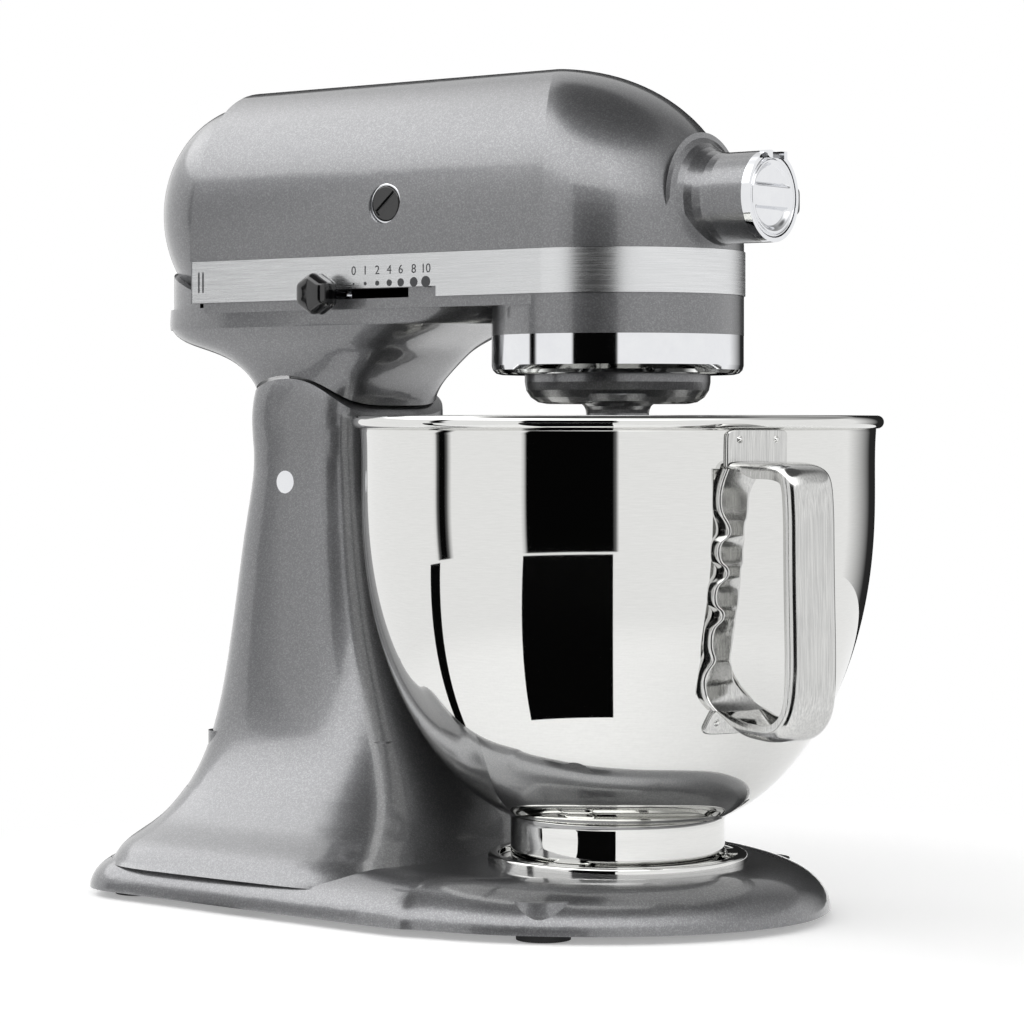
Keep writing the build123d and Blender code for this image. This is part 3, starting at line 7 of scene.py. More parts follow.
# %% Load the fixed frame
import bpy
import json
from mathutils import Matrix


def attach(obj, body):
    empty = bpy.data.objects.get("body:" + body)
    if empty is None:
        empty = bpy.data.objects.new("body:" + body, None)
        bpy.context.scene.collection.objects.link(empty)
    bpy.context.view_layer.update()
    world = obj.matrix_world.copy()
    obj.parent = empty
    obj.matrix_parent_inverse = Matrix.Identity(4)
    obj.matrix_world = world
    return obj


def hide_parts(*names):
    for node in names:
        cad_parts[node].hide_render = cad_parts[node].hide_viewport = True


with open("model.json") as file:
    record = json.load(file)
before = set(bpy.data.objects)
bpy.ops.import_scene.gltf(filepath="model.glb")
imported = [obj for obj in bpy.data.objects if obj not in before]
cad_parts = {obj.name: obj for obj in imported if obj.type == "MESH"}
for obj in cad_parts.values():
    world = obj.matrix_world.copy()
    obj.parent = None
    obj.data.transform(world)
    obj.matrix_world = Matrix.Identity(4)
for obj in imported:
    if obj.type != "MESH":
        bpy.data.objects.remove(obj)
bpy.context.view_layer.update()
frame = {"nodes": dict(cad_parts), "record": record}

import json
import math
import bmesh
import bpy
import numpy as np
from mathutils import Vector

MM = 0.001
BODY_OF = {node: body for body, nodes in frame["record"]["behaviour"]["bodies"].items() for node in nodes}

# %% [markdown]
# ## The camera
# A product picture is taken from far away with a long lens, so that upright lines stay upright.
# The camera looks level across the table, from the front left, and the lens is shifted down to
# take in the base. Tilting it instead would make the pedestal lean.

# %% Place the camera
CAMERA_PLACE = (0.7981, -1.1048, 0.2054)
CAMERA_TURN = 37.71        # degrees from the side view towards the hub
CAMERA_LENS = 113.97       # mm, on a sensor 36 mm wide
CAMERA_SHIFT = -0.0879     # share of the picture's width that the lens is lowered


def place_camera():
    """One camera, level, turned about the upright axis only."""
    data = bpy.data.cameras.new("camera")
    data.lens, data.sensor_width = CAMERA_LENS, 36.0
    data.shift_y = CAMERA_SHIFT
    camera = bpy.data.objects.new("camera", data)
    camera.location = CAMERA_PLACE
    camera.rotation_euler = (math.radians(90), 0, math.radians(CAMERA_TURN))
    bpy.context.scene.collection.objects.link(camera)
    bpy.context.scene.camera = camera
    return camera


camera = place_camera()
print("camera at", CAMERA_PLACE)

# %% [markdown]
# ## Colours and nodes
# Colours are written as they would be picked on a screen, as sRGB hex, and one function makes
# them linear. One small function adds a shader node, sets its values and links its inputs, so a
# material reads as a short list of steps.

# %% Colour and node helpers
def linear(code):
    """A colour '#rrggbb' as linear RGBA: the low end is divided by 12.92, the rest follows a power of 2.4."""
    share = np.array([int(code[k:k + 2], 16) / 255 for k in (1, 3, 5)])
    value = np.where(share <= 0.04045, share / 12.92, ((share + 0.055) / 1.055) ** 2.4)
    return (*value.tolist(), 1.0)


def add(tree, kind, settings=None, **inputs):
    """Adds a node. settings are its own options, inputs are socket values or (node, output) links."""
    node = tree.nodes.new("ShaderNode" + kind)
    for name, value in (settings or {}).items():
        setattr(node, name, value)
    for name, value in inputs.items():
        socket = node.inputs[int(name[1:])] if name[1:].isdigit() else node.inputs[name.replace("_", " ")]
        if isinstance(value, tuple) and isinstance(value[0], bpy.types.Node):
            tree.links.new(value[0].outputs[value[1]], socket)
        else:
            socket.default_value = value
    return node


def ramp(tree, factor, *stops):
    """A colour ramp through (place, '#rrggbb') stops."""
    node = add(tree, "ValToRGB", Fac=factor)
    while len(node.color_ramp.elements) < len(stops):
        node.color_ramp.elements.new(0.5)
    for element, (place, code) in zip(node.color_ramp.elements, stops):
        element.position, element.color = place, linear(code)
    return node


MATERIALS = {}


def new_material(name):
    """An empty material with a Principled shader wired to its output, and Object coordinates."""
    material = bpy.data.materials.new(name)
    material.use_nodes = True
    tree = material.node_tree
    tree.nodes.clear()
    surface = add(tree, "BsdfPrincipled")
    add(tree, "OutputMaterial", Surface=(surface, "BSDF"))
    MATERIALS[name] = material
    return tree, surface, add(tree, "TexCoord")


def per_mm(size):
    """Texture scale, in repeats a metre, whose pattern repeats about every size millimetres."""
    return 1000.0 / size


print("sRGB mid grey is", round(linear("#808080")[0], 3), "linear")

# %% [markdown]
# ## Studio
# Shiny paint and mirror-polished steel show the room more than themselves, so the room is part
# of the look. A product studio hangs white screens and black cards round such an object. Here the
# world does the same: its brightness depends on the compass direction and on the height above
# the horizon. Straight at the camera it is plain white, as a paper backdrop is.

# %% The screens and cards round the table
WORLD_LOW = [(0.0, "#ffffff"), (0.105, "#ffffff"), (0.110, "#0a0a0a"), (0.124, "#0a0a0a"), (0.132, "#ffffff"),
             (0.233, "#ffffff"), (0.238, "#060606"), (0.347, "#060606"), (0.351, "#ffffff"), (0.69, "#ffffff"),
             (0.77, "#2c2c2c"), (0.885, "#1c1c1c"), (0.905, "#ffffff"), (1.0, "#ffffff")]
WORLD_STRIP = [(0.0, "#ffffff"), (0.36, "#ffffff"), (0.55, "#8c8c8c"), (0.72, "#5c5c5c"), (0.9, "#a0a0a0"),
               (1.0, "#ffffff")]
STRIP_LOW, STRIP_HIGH = 27.0, 54.0      # degrees above the horizon
STRIP_GAIN = 2.6


def make_world():
    """Brightness = cards(compass) near the table, a long bright screen higher up, and a dark ceiling."""
    world = bpy.data.worlds.new("studio")
    bpy.context.scene.world = world
    world.use_nodes = True
    tree = world.node_tree
    tree.nodes.clear()
    way = add(tree, "SeparateXYZ", Vector=(add(tree, "TexCoord"), "Generated"))
    turn = add(tree, "Math", {"operation": "ARCTAN2"}, _0=(way, "Y"), _1=(way, "X"))
    compass = add(tree, "Math", {"operation": "MULTIPLY_ADD"}, _0=(turn, 0), _1=1 / (2 * math.pi), _2=0.5)
    low = ramp(tree, (compass, 0), *WORLD_LOW)
    strip = ramp(tree, (compass, 0), *WORLD_STRIP)
    gain = add(tree, "VectorMath", {"operation": "SCALE"}, _0=(strip, "Color"), Scale=STRIP_GAIN)
    edges = (STRIP_LOW - 2, STRIP_LOW + 2, STRIP_HIGH - 3, STRIP_HIGH + 8)
    sines = [math.sin(math.radians(angle)) for angle in edges]
    above = add(tree, "MapRange", {"interpolation_type": "SMOOTHSTEP"}, Value=(way, "Z"), From_Min=sines[0],
                From_Max=sines[1])
    over = add(tree, "MapRange", {"interpolation_type": "SMOOTHSTEP"}, Value=(way, "Z"), From_Min=sines[2],
               From_Max=sines[3])
    sides = add(tree, "Mix", {"data_type": "RGBA"}, Factor=(above, 0), _6=(low, "Color"), _7=(gain, 0))
    room = add(tree, "Mix", {"data_type": "RGBA"}, Factor=(over, 0), _6=(sides, 2), _7=linear("#5a5a5a"))
    direct = add(tree, "LightPath")
    seen = add(tree, "Mix", {"data_type": "RGBA"}, Factor=(direct, "Is Camera Ray"), _6=(room, 2),
               _7=linear("#ffffff"))
    shine = add(tree, "Background", Color=(seen, 2), Strength=1.0)
    add(tree, "OutputWorld", Surface=(shine, "Background"))


make_world()
bpy.context.scene.view_settings.view_transform = "Standard"
print("world made of", len(WORLD_LOW), "stops near the table")

# %% [markdown]
# ## The table
# A pale sweep of paper, lit so well that it goes nearly white. Part of its brightness is its own,
# so the shadow under the base stays soft and thin.

# %% Lay the floor
FLOOR_RADIUS = 0.95     # metres
FLOOR_FADE = (0.24, 0.40)   # metres from the axis; beyond this the paper is as white as the backdrop
FLOOR_RINGS, FLOOR_STEPS = 12, 96


def lay_floor():
    """A flat disc: radius grows with the square of the ring number, so the rings are fine near the mixer."""
    ring, step = np.meshgrid(np.linspace(0, 1, FLOOR_RINGS), np.arange(FLOOR_STEPS), indexing="ij")
    angle = 2 * np.pi * step / FLOOR_STEPS
    radius = FLOOR_RADIUS * (0.02 + 0.98 * ring ** 2)
    points = np.stack([radius * np.cos(angle), radius * np.sin(angle), -0.0004 + 0 * angle], axis=-1)
    corner = np.arange((FLOOR_RINGS - 1) * FLOOR_STEPS).reshape(FLOOR_RINGS - 1, FLOOR_STEPS)
    after = np.roll(corner, -1, axis=1)
    quads = np.stack([corner, corner + FLOOR_STEPS, after + FLOOR_STEPS, after], axis=-1).reshape(-1, 4)
    middle = [list(range(FLOOR_STEPS))]
    mesh = bpy.data.meshes.new("floor")
    mesh.from_pydata(points.reshape(-1, 3).tolist(), [], quads.tolist() + middle)
    floor = bpy.data.objects.new("floor", mesh)
    bpy.context.scene.collection.objects.link(floor)
    tree, surface, place = new_material("backdrop_paper")
    grain = add(tree, "TexNoise", Vector=(place, "Object"), Scale=per_mm(4), Detail=3.0)
    tint = ramp(tree, (grain, "Fac"), (0.3, "#eeeeee"), (0.7, "#f3f3f3"))
    surface.inputs["Roughness"].default_value = 0.9
    surface.inputs["Specular IOR Level"].default_value = 0.0
    surface.inputs["Emission Color"].default_value = linear("#ffffff")
    far = add(tree, "VectorMath", {"operation": "LENGTH"}, _0=(place, "Object"))
    glow = add(tree, "MapRange", {"interpolation_type": "SMOOTHSTEP"}, Value=(far, "Value"), From_Min=FLOOR_FADE[0],
               From_Max=FLOOR_FADE[1], To_Min=0.30, To_Max=1.0)
    lost = add(tree, "MapRange", Value=(glow, 0), From_Min=0.30, From_Max=1.0)
    paper = add(tree, "Mix", {"data_type": "RGBA"}, Factor=(lost, 0), _6=(tint, "Color"), _7=linear("#000000"))
    tree.links.new(paper.outputs[2], surface.inputs["Base Color"])
    tree.links.new(glow.outputs[0], surface.inputs["Emission Strength"])
    mesh.materials.append(MATERIALS["backdrop_paper"])
    return floor


lay_floor()
print("floor laid,", FLOOR_RADIUS * 2, "m across")

# %% [markdown]
# The polished bowl mirrors the table as well. Two matt black cards lie on it, outside the picture,
# in line with the black cards that hang behind the camera. Only mirrors see them, so they neither
# shade the paper nor show on it.

# %% Black cards on the table
CARDS = [(-94.0, -56.0), (-142.0, -136.0)]      # from and to, in degrees round the axis
CARD_REACH = (0.15, 0.9)                        # metres from the axis


def lay_cards():
    """Each card is a sector of a ring: (r cos a, r sin a) between two radii and two angles."""
    tree, surface, place = new_material("card_black_matt")
    fibre = add(tree, "TexNoise", Vector=(place, "Object"), Scale=per_mm(3), Detail=3.0)
    tint = ramp(tree, (fibre, "Fac"), (0.3, "#050505"), (0.7, "#090909"))
    tree.links.new(tint.outputs["Color"], surface.inputs["Base Color"])
    surface.inputs["Roughness"].default_value = 1.0
    surface.inputs["Specular IOR Level"].default_value = 0.0
    for number, (start, end) in enumerate(CARDS):
        angle, reach = np.meshgrid(np.radians(np.linspace(start, end, 20)), np.linspace(*CARD_REACH, 8))
        points = np.stack([reach * np.cos(angle), reach * np.sin(angle), 0.0003 + 0 * angle], axis=-1)
        corner = np.arange(8 * 20).reshape(8, 20)
        quads = np.stack([corner[:-1, :-1], corner[:-1, 1:], corner[1:, 1:], corner[1:, :-1]], axis=-1)
        mesh = bpy.data.meshes.new(f"card_{number}")
        mesh.from_pydata(points.reshape(-1, 3).tolist(), [], quads.reshape(-1, 4).tolist())
        mesh.materials.append(MATERIALS["card_black_matt"])
        card = bpy.data.objects.new(f"card_{number}", mesh)
        bpy.context.scene.collection.objects.link(card)
        card.visible_camera = card.visible_diffuse = card.visible_shadow = False


lay_cards()
print(len(CARDS), "cards laid")

# %% [markdown]
# ## Finishes
# Every finish starts from what the real one is and how it was made. Patterns have real sizes in
# millimetres; those too fine to show are drawn a little coarser, and the comment says so.

# %% Sprayed metallic enamel on the castings
FLAKE_SIZE = 0.45      # mm; real flakes are about 0.05 mm, drawn coarser so that they show
PEEL_SIZE = 5.0        # mm, the faint unevenness of sprayed lacquer


def flake_enamel():
    """Aluminium flakes in grey binder under clear lacquer: each flake mirrors its own bit of the room."""
    tree, surface, place = new_material("metallic_enamel_sprayed")
    flakes = add(tree, "TexVoronoi", Vector=(place, "Object"), Scale=per_mm(FLAKE_SIZE))
    shade = ramp(tree, (add(tree, "SeparateColor", Color=(flakes, "Color")), "Red"),
                 (0.0, "#707173"), (0.6, "#79797b"), (1.0, "#88898a"))
    rough = add(tree, "MapRange", Value=(add(tree, "SeparateColor", Color=(flakes, "Color")), "Green"),
                To_Min=0.30, To_Max=0.38)
    peel = add(tree, "TexNoise", Vector=(place, "Object"), Scale=per_mm(PEEL_SIZE), Detail=1.0)
    skin = add(tree, "Bump", Height=(peel, "Fac"), Strength=0.03, Distance=0.0002)
    tilt = add(tree, "Bump", Height=(flakes, "Distance"), Strength=0.05, Distance=0.0001)
    for name, link in (("Base Color", (shade, "Color")), ("Roughness", (rough, 0)), ("Normal", (tilt, 0)),
                       ("Coat Normal", (skin, 0))):
        tree.links.new(link[0].outputs[link[1]], surface.inputs[name])
    surface.inputs["Metallic"].default_value = 0.85
    surface.inputs["Coat Weight"].default_value = 1.0
    surface.inputs["Coat Roughness"].default_value = 0.06
    surface.inputs["Coat IOR"].default_value = 1.5


flake_enamel()
print("enamel ready")

# %% [markdown]
# Bare metals differ mostly in how they were worked. Polishing leaves a mirror with a trace of
# fine arcs, brushing leaves long parallel scratches, casting a dull grain. One function mixes
# those: a colour, a roughness range, and a noise stretched along one direction.

# %% Worked metals
def metal(name, light, dark, rough, grain=(1.0, 1.0, 1.0), size=1.0, bump=0.0, twist=0.0, metallic=1.0):
    """A metal whose worked grain is size mm across and stretched by the grain factors along X, Y and Z."""
    tree, surface, place = new_material(name)
    spots = add(tree, "Mapping", Vector=(place, "Object"), Scale=Vector([per_mm(size) / g for g in grain]))
    noise = add(tree, "TexNoise", Vector=(spots, 0), Scale=1.0, Detail=4.0, Roughness=0.65)
    shade = ramp(tree, (noise, "Fac"), (0.3, dark), (0.7, light))
    spread = add(tree, "MapRange", Value=(noise, "Fac"), From_Min=0.25, From_Max=0.75, To_Min=rough[0],
                 To_Max=rough[1])
    tree.links.new(shade.outputs["Color"], surface.inputs["Base Color"])
    tree.links.new(spread.outputs[0], surface.inputs["Roughness"])
    if bump:
        lines = add(tree, "Bump", Height=(noise, "Fac"), Strength=bump, Distance=0.0001)
        tree.links.new(lines.outputs[0], surface.inputs["Normal"])
    surface.inputs["Metallic"].default_value = metallic
    surface.inputs["Anisotropic"].default_value = twist
    return MATERIALS[name]


metal("stainless_steel_mirror_polished", "#e2e2e0", "#dcdcda", (0.015, 0.035), (1, 1, 0.06), 6.0)
metal("chrome_plating", "#e9eaec", "#e4e5e8", (0.03, 0.06), (1, 1, 1), 9.0)
metal("stainless_steel_brushed", "#d6d6d4", "#a9a9a8", (0.17, 0.33), (1, 1, 40), 0.5, 0.22, 0.4)
metal("stainless_steel_pressed_satin", "#dcdcda", "#b9b9b8", (0.10, 0.17), (1, 1, 60), 0.6, 0.08, 0.3)
metal("aluminium_satin_rolled", "#e3e4e5", "#d2d3d4", (0.20, 0.30), (60, 60, 1), 0.35, 0.10, 0.5)
metal("zinc_as_cast", "#9a9b9c", "#7c7d7f", (0.42, 0.6), (1, 1, 1), 1.6, 0.5)
metal("gear_steel_hobbed", "#a3a4a6", "#808285", (0.25, 0.42), (1, 1, 6), 0.8, 0.25)
metal("bronze_sintered", "#a9803f", "#8a652e", (0.35, 0.55), (1, 1, 1), 0.6, 0.35)
metal("copper_enamelled_wire", "#b5652f", "#8e4721", (0.18, 0.34), (14, 14, 1), 0.9, 0.8)
metal("silicon_steel_laminated", "#8b8d90", "#5f6164", (0.35, 0.5), (1, 30, 30), 0.6, 0.8)
print(len(MATERIALS), "finishes so far")

# %% [markdown]
# Mouldings, rubber and boards are not metals: light enters them a little, so they keep a plain
# colour and a weak highlight. Only the gloss and the grain of the mould differ.

# %% Plastics, rubber and carbon
def moulding(name, light, dark, rough, size=1.5, bump=0.1, coat=0.0):
    """A moulded material with a mould grain of size mm and a roughness range."""
    tree, surface, place = new_material(name)
    noise = add(tree, "TexNoise", Vector=(place, "Object"), Scale=per_mm(size), Detail=5.0)
    shade = ramp(tree, (noise, "Fac"), (0.35, dark), (0.65, light))
    spread = add(tree, "MapRange", Value=(noise, "Fac"), From_Min=0.3, From_Max=0.7, To_Min=rough[0],
                 To_Max=rough[1])
    lines = add(tree, "Bump", Height=(noise, "Fac"), Strength=bump, Distance=0.0001)
    tree.links.new(shade.outputs["Color"], surface.inputs["Base Color"])
    tree.links.new(spread.outputs[0], surface.inputs["Roughness"])
    tree.links.new(lines.outputs[0], surface.inputs["Normal"])
    surface.inputs["Coat Weight"].default_value = coat
    surface.inputs["Coat Roughness"].default_value = 0.04
    return MATERIALS[name]


moulding("phenolic_black_polished", "#0d0d0e", "#080809", (0.10, 0.20), 3.0, 0.02, 0.6)
moulding("nylon_black_moulded", "#1a1a1b", "#121213", (0.30, 0.42), 0.8, 0.15)
moulding("rubber_moulded", "#2b2b2c", "#1e1e1f", (0.7, 0.85), 0.7, 0.5)
moulding("acetal_white_moulded", "#e6e3da", "#d9d6cc", (0.35, 0.45), 1.0, 0.1)
moulding("carbon_pressed", "#262628", "#161617", (0.45, 0.6), 0.5, 0.4)
moulding("fibreglass_board_green", "#2f6b45", "#235638", (0.35, 0.45), 0.8, 0.2, 0.3)
# dark ink for the printed speed scale, also used for the painted shade of two notches on the band
moulding("printed_ink_and_notch_shade", "#3a3b3d", "#333436", (0.45, 0.55), 0.5, 0.05)
SLOT_FINISH = {
    "grey_enamel": "metallic_enamel_sprayed", "cast_zinc": "zinc_as_cast",
    "polished_steel": "stainless_steel_mirror_polished", "brushed_steel": "stainless_steel_brushed",
    "chrome": "chrome_plating", "satin_band": "aluminium_satin_rolled", "black_plastic": "nylon_black_moulded",
    "black_moulding": "phenolic_black_polished", "foot_rubber": "rubber_moulded",
    "gear_steel": "gear_steel_hobbed", "bronze": "bronze_sintered", "copper_winding": "copper_enamelled_wire",
    "core_steel": "silicon_steel_laminated", "carbon": "carbon_pressed",
    "board_laminate": "fibreglass_board_green", "white_moulding": "acetal_white_moulded",
}
for node in frame["nodes"].values():
    for holder in node.material_slots:
        holder.material = MATERIALS[SLOT_FINISH[holder.material.name.split(".")[0]]]
print("CAD nodes dressed:", len(frame["nodes"]))

# %% [markdown]
# ## Making surfaces
# A casting, a spun bowl or a pressed strap is a surface of two parameters. Each is worked out as
# one array of points on a grid, and the quads between neighbours are worked out the same way.
# A helper joins such grids into one piece, closes seams and poles, and hangs it on its body.

# %% Grid and piece helpers
def grid(points, around=False):
    """Points of shape (rows, columns, 3) and the quads between neighbours. around closes the columns."""
    rows, columns = points.shape[:2]
    corner = np.arange(rows * columns).reshape(rows, columns)
    left = corner if around else corner[:, :-1]
    right = np.roll(corner, -1, axis=1) if around else corner[:, 1:]
    quads = np.stack([left[:-1], right[:-1], right[1:], left[1:]], axis=-1).reshape(-1, 4)
    return points.reshape(-1, 3), quads.tolist()


def make_piece(name, finish, body, sheets, replaced=(), crease=40.0):
    """One mesh from several grids, in millimetres: doubles merged, faces outward, smooth up to crease."""
    points, faces, count = [], [], 0
    for sheet_points, sheet_faces in sheets:
        points.append(np.asarray(sheet_points))
        faces += [[corner + count for corner in face] for face in sheet_faces]
        count += len(sheet_points)
    mesh = bpy.data.meshes.new(name)
    mesh.from_pydata((np.concatenate(points) * MM).tolist(), [], faces)
    shape = bmesh.new()
    shape.from_mesh(mesh)
    bmesh.ops.remove_doubles(shape, verts=shape.verts, dist=2e-6)
    bmesh.ops.dissolve_degenerate(shape, edges=shape.edges, dist=1e-7)
    bmesh.ops.recalc_face_normals(shape, faces=shape.faces)
    shape.to_mesh(mesh)
    shape.free()
    mesh.shade_smooth()
    mesh.set_sharp_from_angle(angle=math.radians(crease))
    mesh.materials.append(MATERIALS[finish])
    piece = bpy.data.objects.new(name, mesh)
    bpy.context.scene.collection.objects.link(piece)
    if replaced:
        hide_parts(*replaced)
    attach(piece, body)
    print(f"{name}: {len(mesh.polygons)} faces")
    return piece


def smooth_line(knots, count):
    """A natural cubic spline through knots, as count points evenly spaced along it."""
    knots = np.asarray(knots, float)
    at = np.concatenate([[0], np.cumsum(np.linalg.norm(np.diff(knots, axis=0), axis=1))])
    step = np.diff(at)
    size = len(knots)
    system, right = np.eye(size), np.zeros_like(knots)
    inner = np.arange(1, size - 1)
    system[inner, inner - 1], system[inner, inner + 1] = step[:-1], step[1:]
    system[inner, inner] = 2 * (step[:-1] + step[1:])
    slope = np.diff(knots, axis=0) / step[:, None]
    right[1:-1] = 6 * np.diff(slope, axis=0)
    bend = np.linalg.solve(system, right)
    where = np.linspace(0, at[-1], count)
    k = np.clip(np.searchsorted(at, where, side="right") - 1, 0, size - 2)
    a, b, h = (at[k + 1] - where)[:, None], (where - at[k])[:, None], step[k][:, None]
    return ((bend[k] * a ** 3 + bend[k + 1] * b ** 3) / (6 * h) + (knots[k] / h - bend[k] * h / 6) * a
            + (knots[k + 1] / h - bend[k + 1] * h / 6) * b)


def arc(centre, radius, start, end, count=9):
    """Points on an arc between two angles in degrees."""
    angle = np.radians(np.linspace(start, end, count))
    return np.stack([centre[0] + radius * np.cos(angle), centre[1] + radius * np.sin(angle)], axis=-1)


def turned(profile, steps=192, centre=(0.0, 0.0), spread=None):
    """A (radius, height) profile carried round an upright axis: x = r·cos(turn), y = r·sin(turn)."""
    profile = np.asarray(profile, float)
    turn = 2 * np.pi * np.arange(steps) / steps
    radius, height = profile[:, :1], profile[:, 1:]
    if spread is not None:
        radius = radius + spread(profile, turn)
    points = np.stack([centre[0] + radius * np.cos(turn), centre[1] + radius * np.sin(turn),
                       height + 0 * turn], axis=-1)
    return grid(points, around=True)


print("spline test:", smooth_line([(0, 0), (1, 1), (2, 0)], 3).round(2).tolist())

# %% [markdown]
# ## The bowl
# The real bowl is spun from stainless sheet and polished to a mirror, with its rim rolled over a
# wire. A mirror shows every facet, so the wall is a smooth polynomial fitted through a few
# measured heights, turned in many fine steps. The rim is a round bead.

# %% Bowl wall and rolled rim
WALL_PLACES = [(108.0, 202.6), (107.5, 176.0), (106.6, 151.0), (103.8, 132.0), (99.5, 113.0), (90.0, 88.5),
               (78.9, 69.5), (68.4, 57.5), (57.0, 47.5), (44.0, 40.2), (28.0, 36.6), (12.0, 36.0), (0.0, 36.0)]
WALL_DEGREE = 7
SHEET = 1.2                    # mm, the bowl's wall
BEAD_CENTRE, BEAD_RADIUS = (108.5, 205.4), 2.7


def wall_line(count=110):
    """The wall's outline: radius and height as polynomials of the length along it, ending on the axis."""
    knots = np.array(WALL_PLACES)
    at = np.concatenate([[0], np.cumsum(np.linalg.norm(np.diff(knots, axis=0), axis=1))])
    weight = np.ones(len(knots))
    weight[[0, -1]] = 30
    where = np.linspace(0, at[-1], count)
    fits = [np.polyfit(at, knots[:, k], WALL_DEGREE, w=weight) for k in (0, 1)]
    line = np.stack([np.polyval(fit, where) for fit in fits], axis=-1)
    line[-1, 0] = 0.0
    return line


def offset_line(line, distance):
    """The line moved sideways, along its own normal, by distance."""
    along = np.gradient(line, axis=0)
    normal = np.stack([along[:, 1], -along[:, 0]], axis=-1)
    return line + distance * normal / np.linalg.norm(normal, axis=1, keepdims=True)


wall = wall_line()
inner_wall = offset_line(wall, SHEET)
inner_wall[-1, 0] = 0.0
bead = arc(BEAD_CENTRE, BEAD_RADIUS, -105, 232, 40)
bowl_profile = np.concatenate([wall[::-1], bead, inner_wall])
bowl_profile[:, 0] = np.maximum(bowl_profile[:, 0], 0)
make_piece("bowl_mirror_wall", "stainless_steel_mirror_polished", BODY_OF["bowl_shell"],
           [turned(bowl_profile, 240)], ["bowl_shell"], 60)

# %% [markdown]
# The bowl stands on a short ring that flares out where it meets the belly, and three lugs under
# it turn into the clamp plate on the base. Both are polished, so their edges are rounded: a real
# edge always catches a thin line of light.

# %% Foot ring and clamp plate
FOOT_RADIUS, FOOT_LOW, FOOT_SHEET = 45.0, 22.5, 1.4
FLARE_RADIUS = 5.2
PLATE_RADIUS, PLATE_TOP, PLATE_LOW, RECESS_RADIUS, RECESS_Z = 54.5, 25.2, 19.4, 50.2, 22.2
LUG_TURN, LUG_HALF, LIP_HALF = -81.0, 9.0, 12.0


def wedge(inner, outer, middle, half, low, high, round_off=0.3, steps=14):
    """A block between two radii and two angles with rounded corners: a rounded box bent round the axis."""
    corner = np.concatenate([arc((inner + round_off, low + round_off), round_off, 180, 270, 4),
                             arc((outer - round_off, low + round_off), round_off, 270, 360, 4),
                             arc((outer - round_off, high - round_off), round_off, 0, 90, 4),
                             arc((inner + round_off, high - round_off), round_off, 90, 180, 4)])
    centre = corner.mean(axis=0)
    turn = np.radians(middle + np.linspace(-half, half, steps))
    swell = np.concatenate([[0.0, 0.9], np.ones(steps - 4), [0.9, 0.0]])
    section = centre + (corner - centre) * swell[:, None, None]
    points = np.stack([section[..., 0] * np.cos(turn)[:, None], section[..., 0] * np.sin(turn)[:, None],
                       section[..., 1]], axis=-1)
    return grid(points, around=True)


flare_z = 43.6 - FLARE_RADIUS
foot_outer = np.concatenate([arc((FOOT_RADIUS - 0.7, FOOT_LOW + 0.7), 0.7, 180, 360, 10),
                             [(FOOT_RADIUS, 30.0), (FOOT_RADIUS, 35.0)],
                             arc((FOOT_RADIUS + FLARE_RADIUS, flare_z), FLARE_RADIUS, 180, 96, 14)])
foot_inner = [(FOOT_RADIUS + 3.4, 43.9), (FOOT_RADIUS - 0.6, 41.0), (FOOT_RADIUS - FOOT_SHEET, 35.0)]
foot_profile = np.concatenate([foot_outer, foot_inner, foot_outer[:1]])
lugs = [wedge(FOOT_RADIUS - 1, 49.4, LUG_TURN + 120 * k, LUG_HALF, 22.7, 23.9) for k in range(3)]
make_piece("bowl_foot_ring", "stainless_steel_mirror_polished", BODY_OF["bowl_foot"],
           [turned(foot_profile, 192)] + lugs, ["bowl_foot"], 50)

plate_profile = np.concatenate([[(0.0, PLATE_LOW), (PLATE_RADIUS - 0.2, PLATE_LOW)],
                                arc((PLATE_RADIUS - 1.4, PLATE_TOP - 1.4), 1.4, 0, 90, 8),
                                arc((RECESS_RADIUS + 0.6, PLATE_TOP - 0.6), 0.6, 90, 180, 6),
                                arc((RECESS_RADIUS - 0.6, RECESS_Z + 0.6), 0.6, 0, -90, 5), [(0.0, RECESS_Z)]])
lips = [wedge(FOOT_RADIUS + 1.0, RECESS_RADIUS + 1, LUG_TURN + 120 * k, LIP_HALF, PLATE_TOP - 1.1,
              PLATE_TOP) for k in range(3)]
make_piece("clamp_plate_pressed", "stainless_steel_mirror_polished", BODY_OF["bowl_clamp_plate"],
           [turned(plate_profile, 192)] + lips, ["bowl_clamp_plate"], 50)

# %% [markdown]
# ## The handle
# A strap of sheet steel is pressed into a shallow channel, bent into a C and welded to the bowl,
# with a second pressing behind it shaped for four fingers. All of it is worked out with the
# handle pointing along X, in distance from the bowl's axis, sideways and height, and then turned.

# %% Strap
HANDLE_TURN = math.radians(-24.0)
STRAP_PATH = [(111, 188.8), (122, 188.8), (135.5, 188.6), (145, 185.4), (147.9, 176.8), (148.7, 158.8),
              (149.5, 126.8), (149.5, 105), (146.5, 92.5), (136.5, 84.6), (121.5, 83.2), (107, 85.2),
              (98, 89.8), (93.5, 92.0)]
STRAP_HALF, ROOT_HALF, FLANGE = 10.6, 14.5, 5.4      # mm: half widths along it and where it leaves the bowl


def turned_to_handle(points):
    """Turns points about the upright axis by the handle's angle."""
    x, y, z = np.moveaxis(np.asarray(points, float), -1, 0)
    c, s = math.cos(HANDLE_TURN), math.sin(HANDLE_TURN)
    return np.stack([c * x - s * y, s * x + c * y, z], axis=-1)


def arch(half, drop, rise, count=34):
    """A channel's section: (half·|cos a|^0.5 with its sign, -drop + (drop + rise)·(sin a)^0.62)."""
    a = np.linspace(np.pi, 0, count)
    side = half[:, None] * np.sign(np.cos(a)) * np.abs(np.cos(a)) ** 0.5
    return np.stack([side, -drop[:, None] + (drop + rise)[:, None] * np.abs(np.sin(a)) ** 0.62], axis=-1)


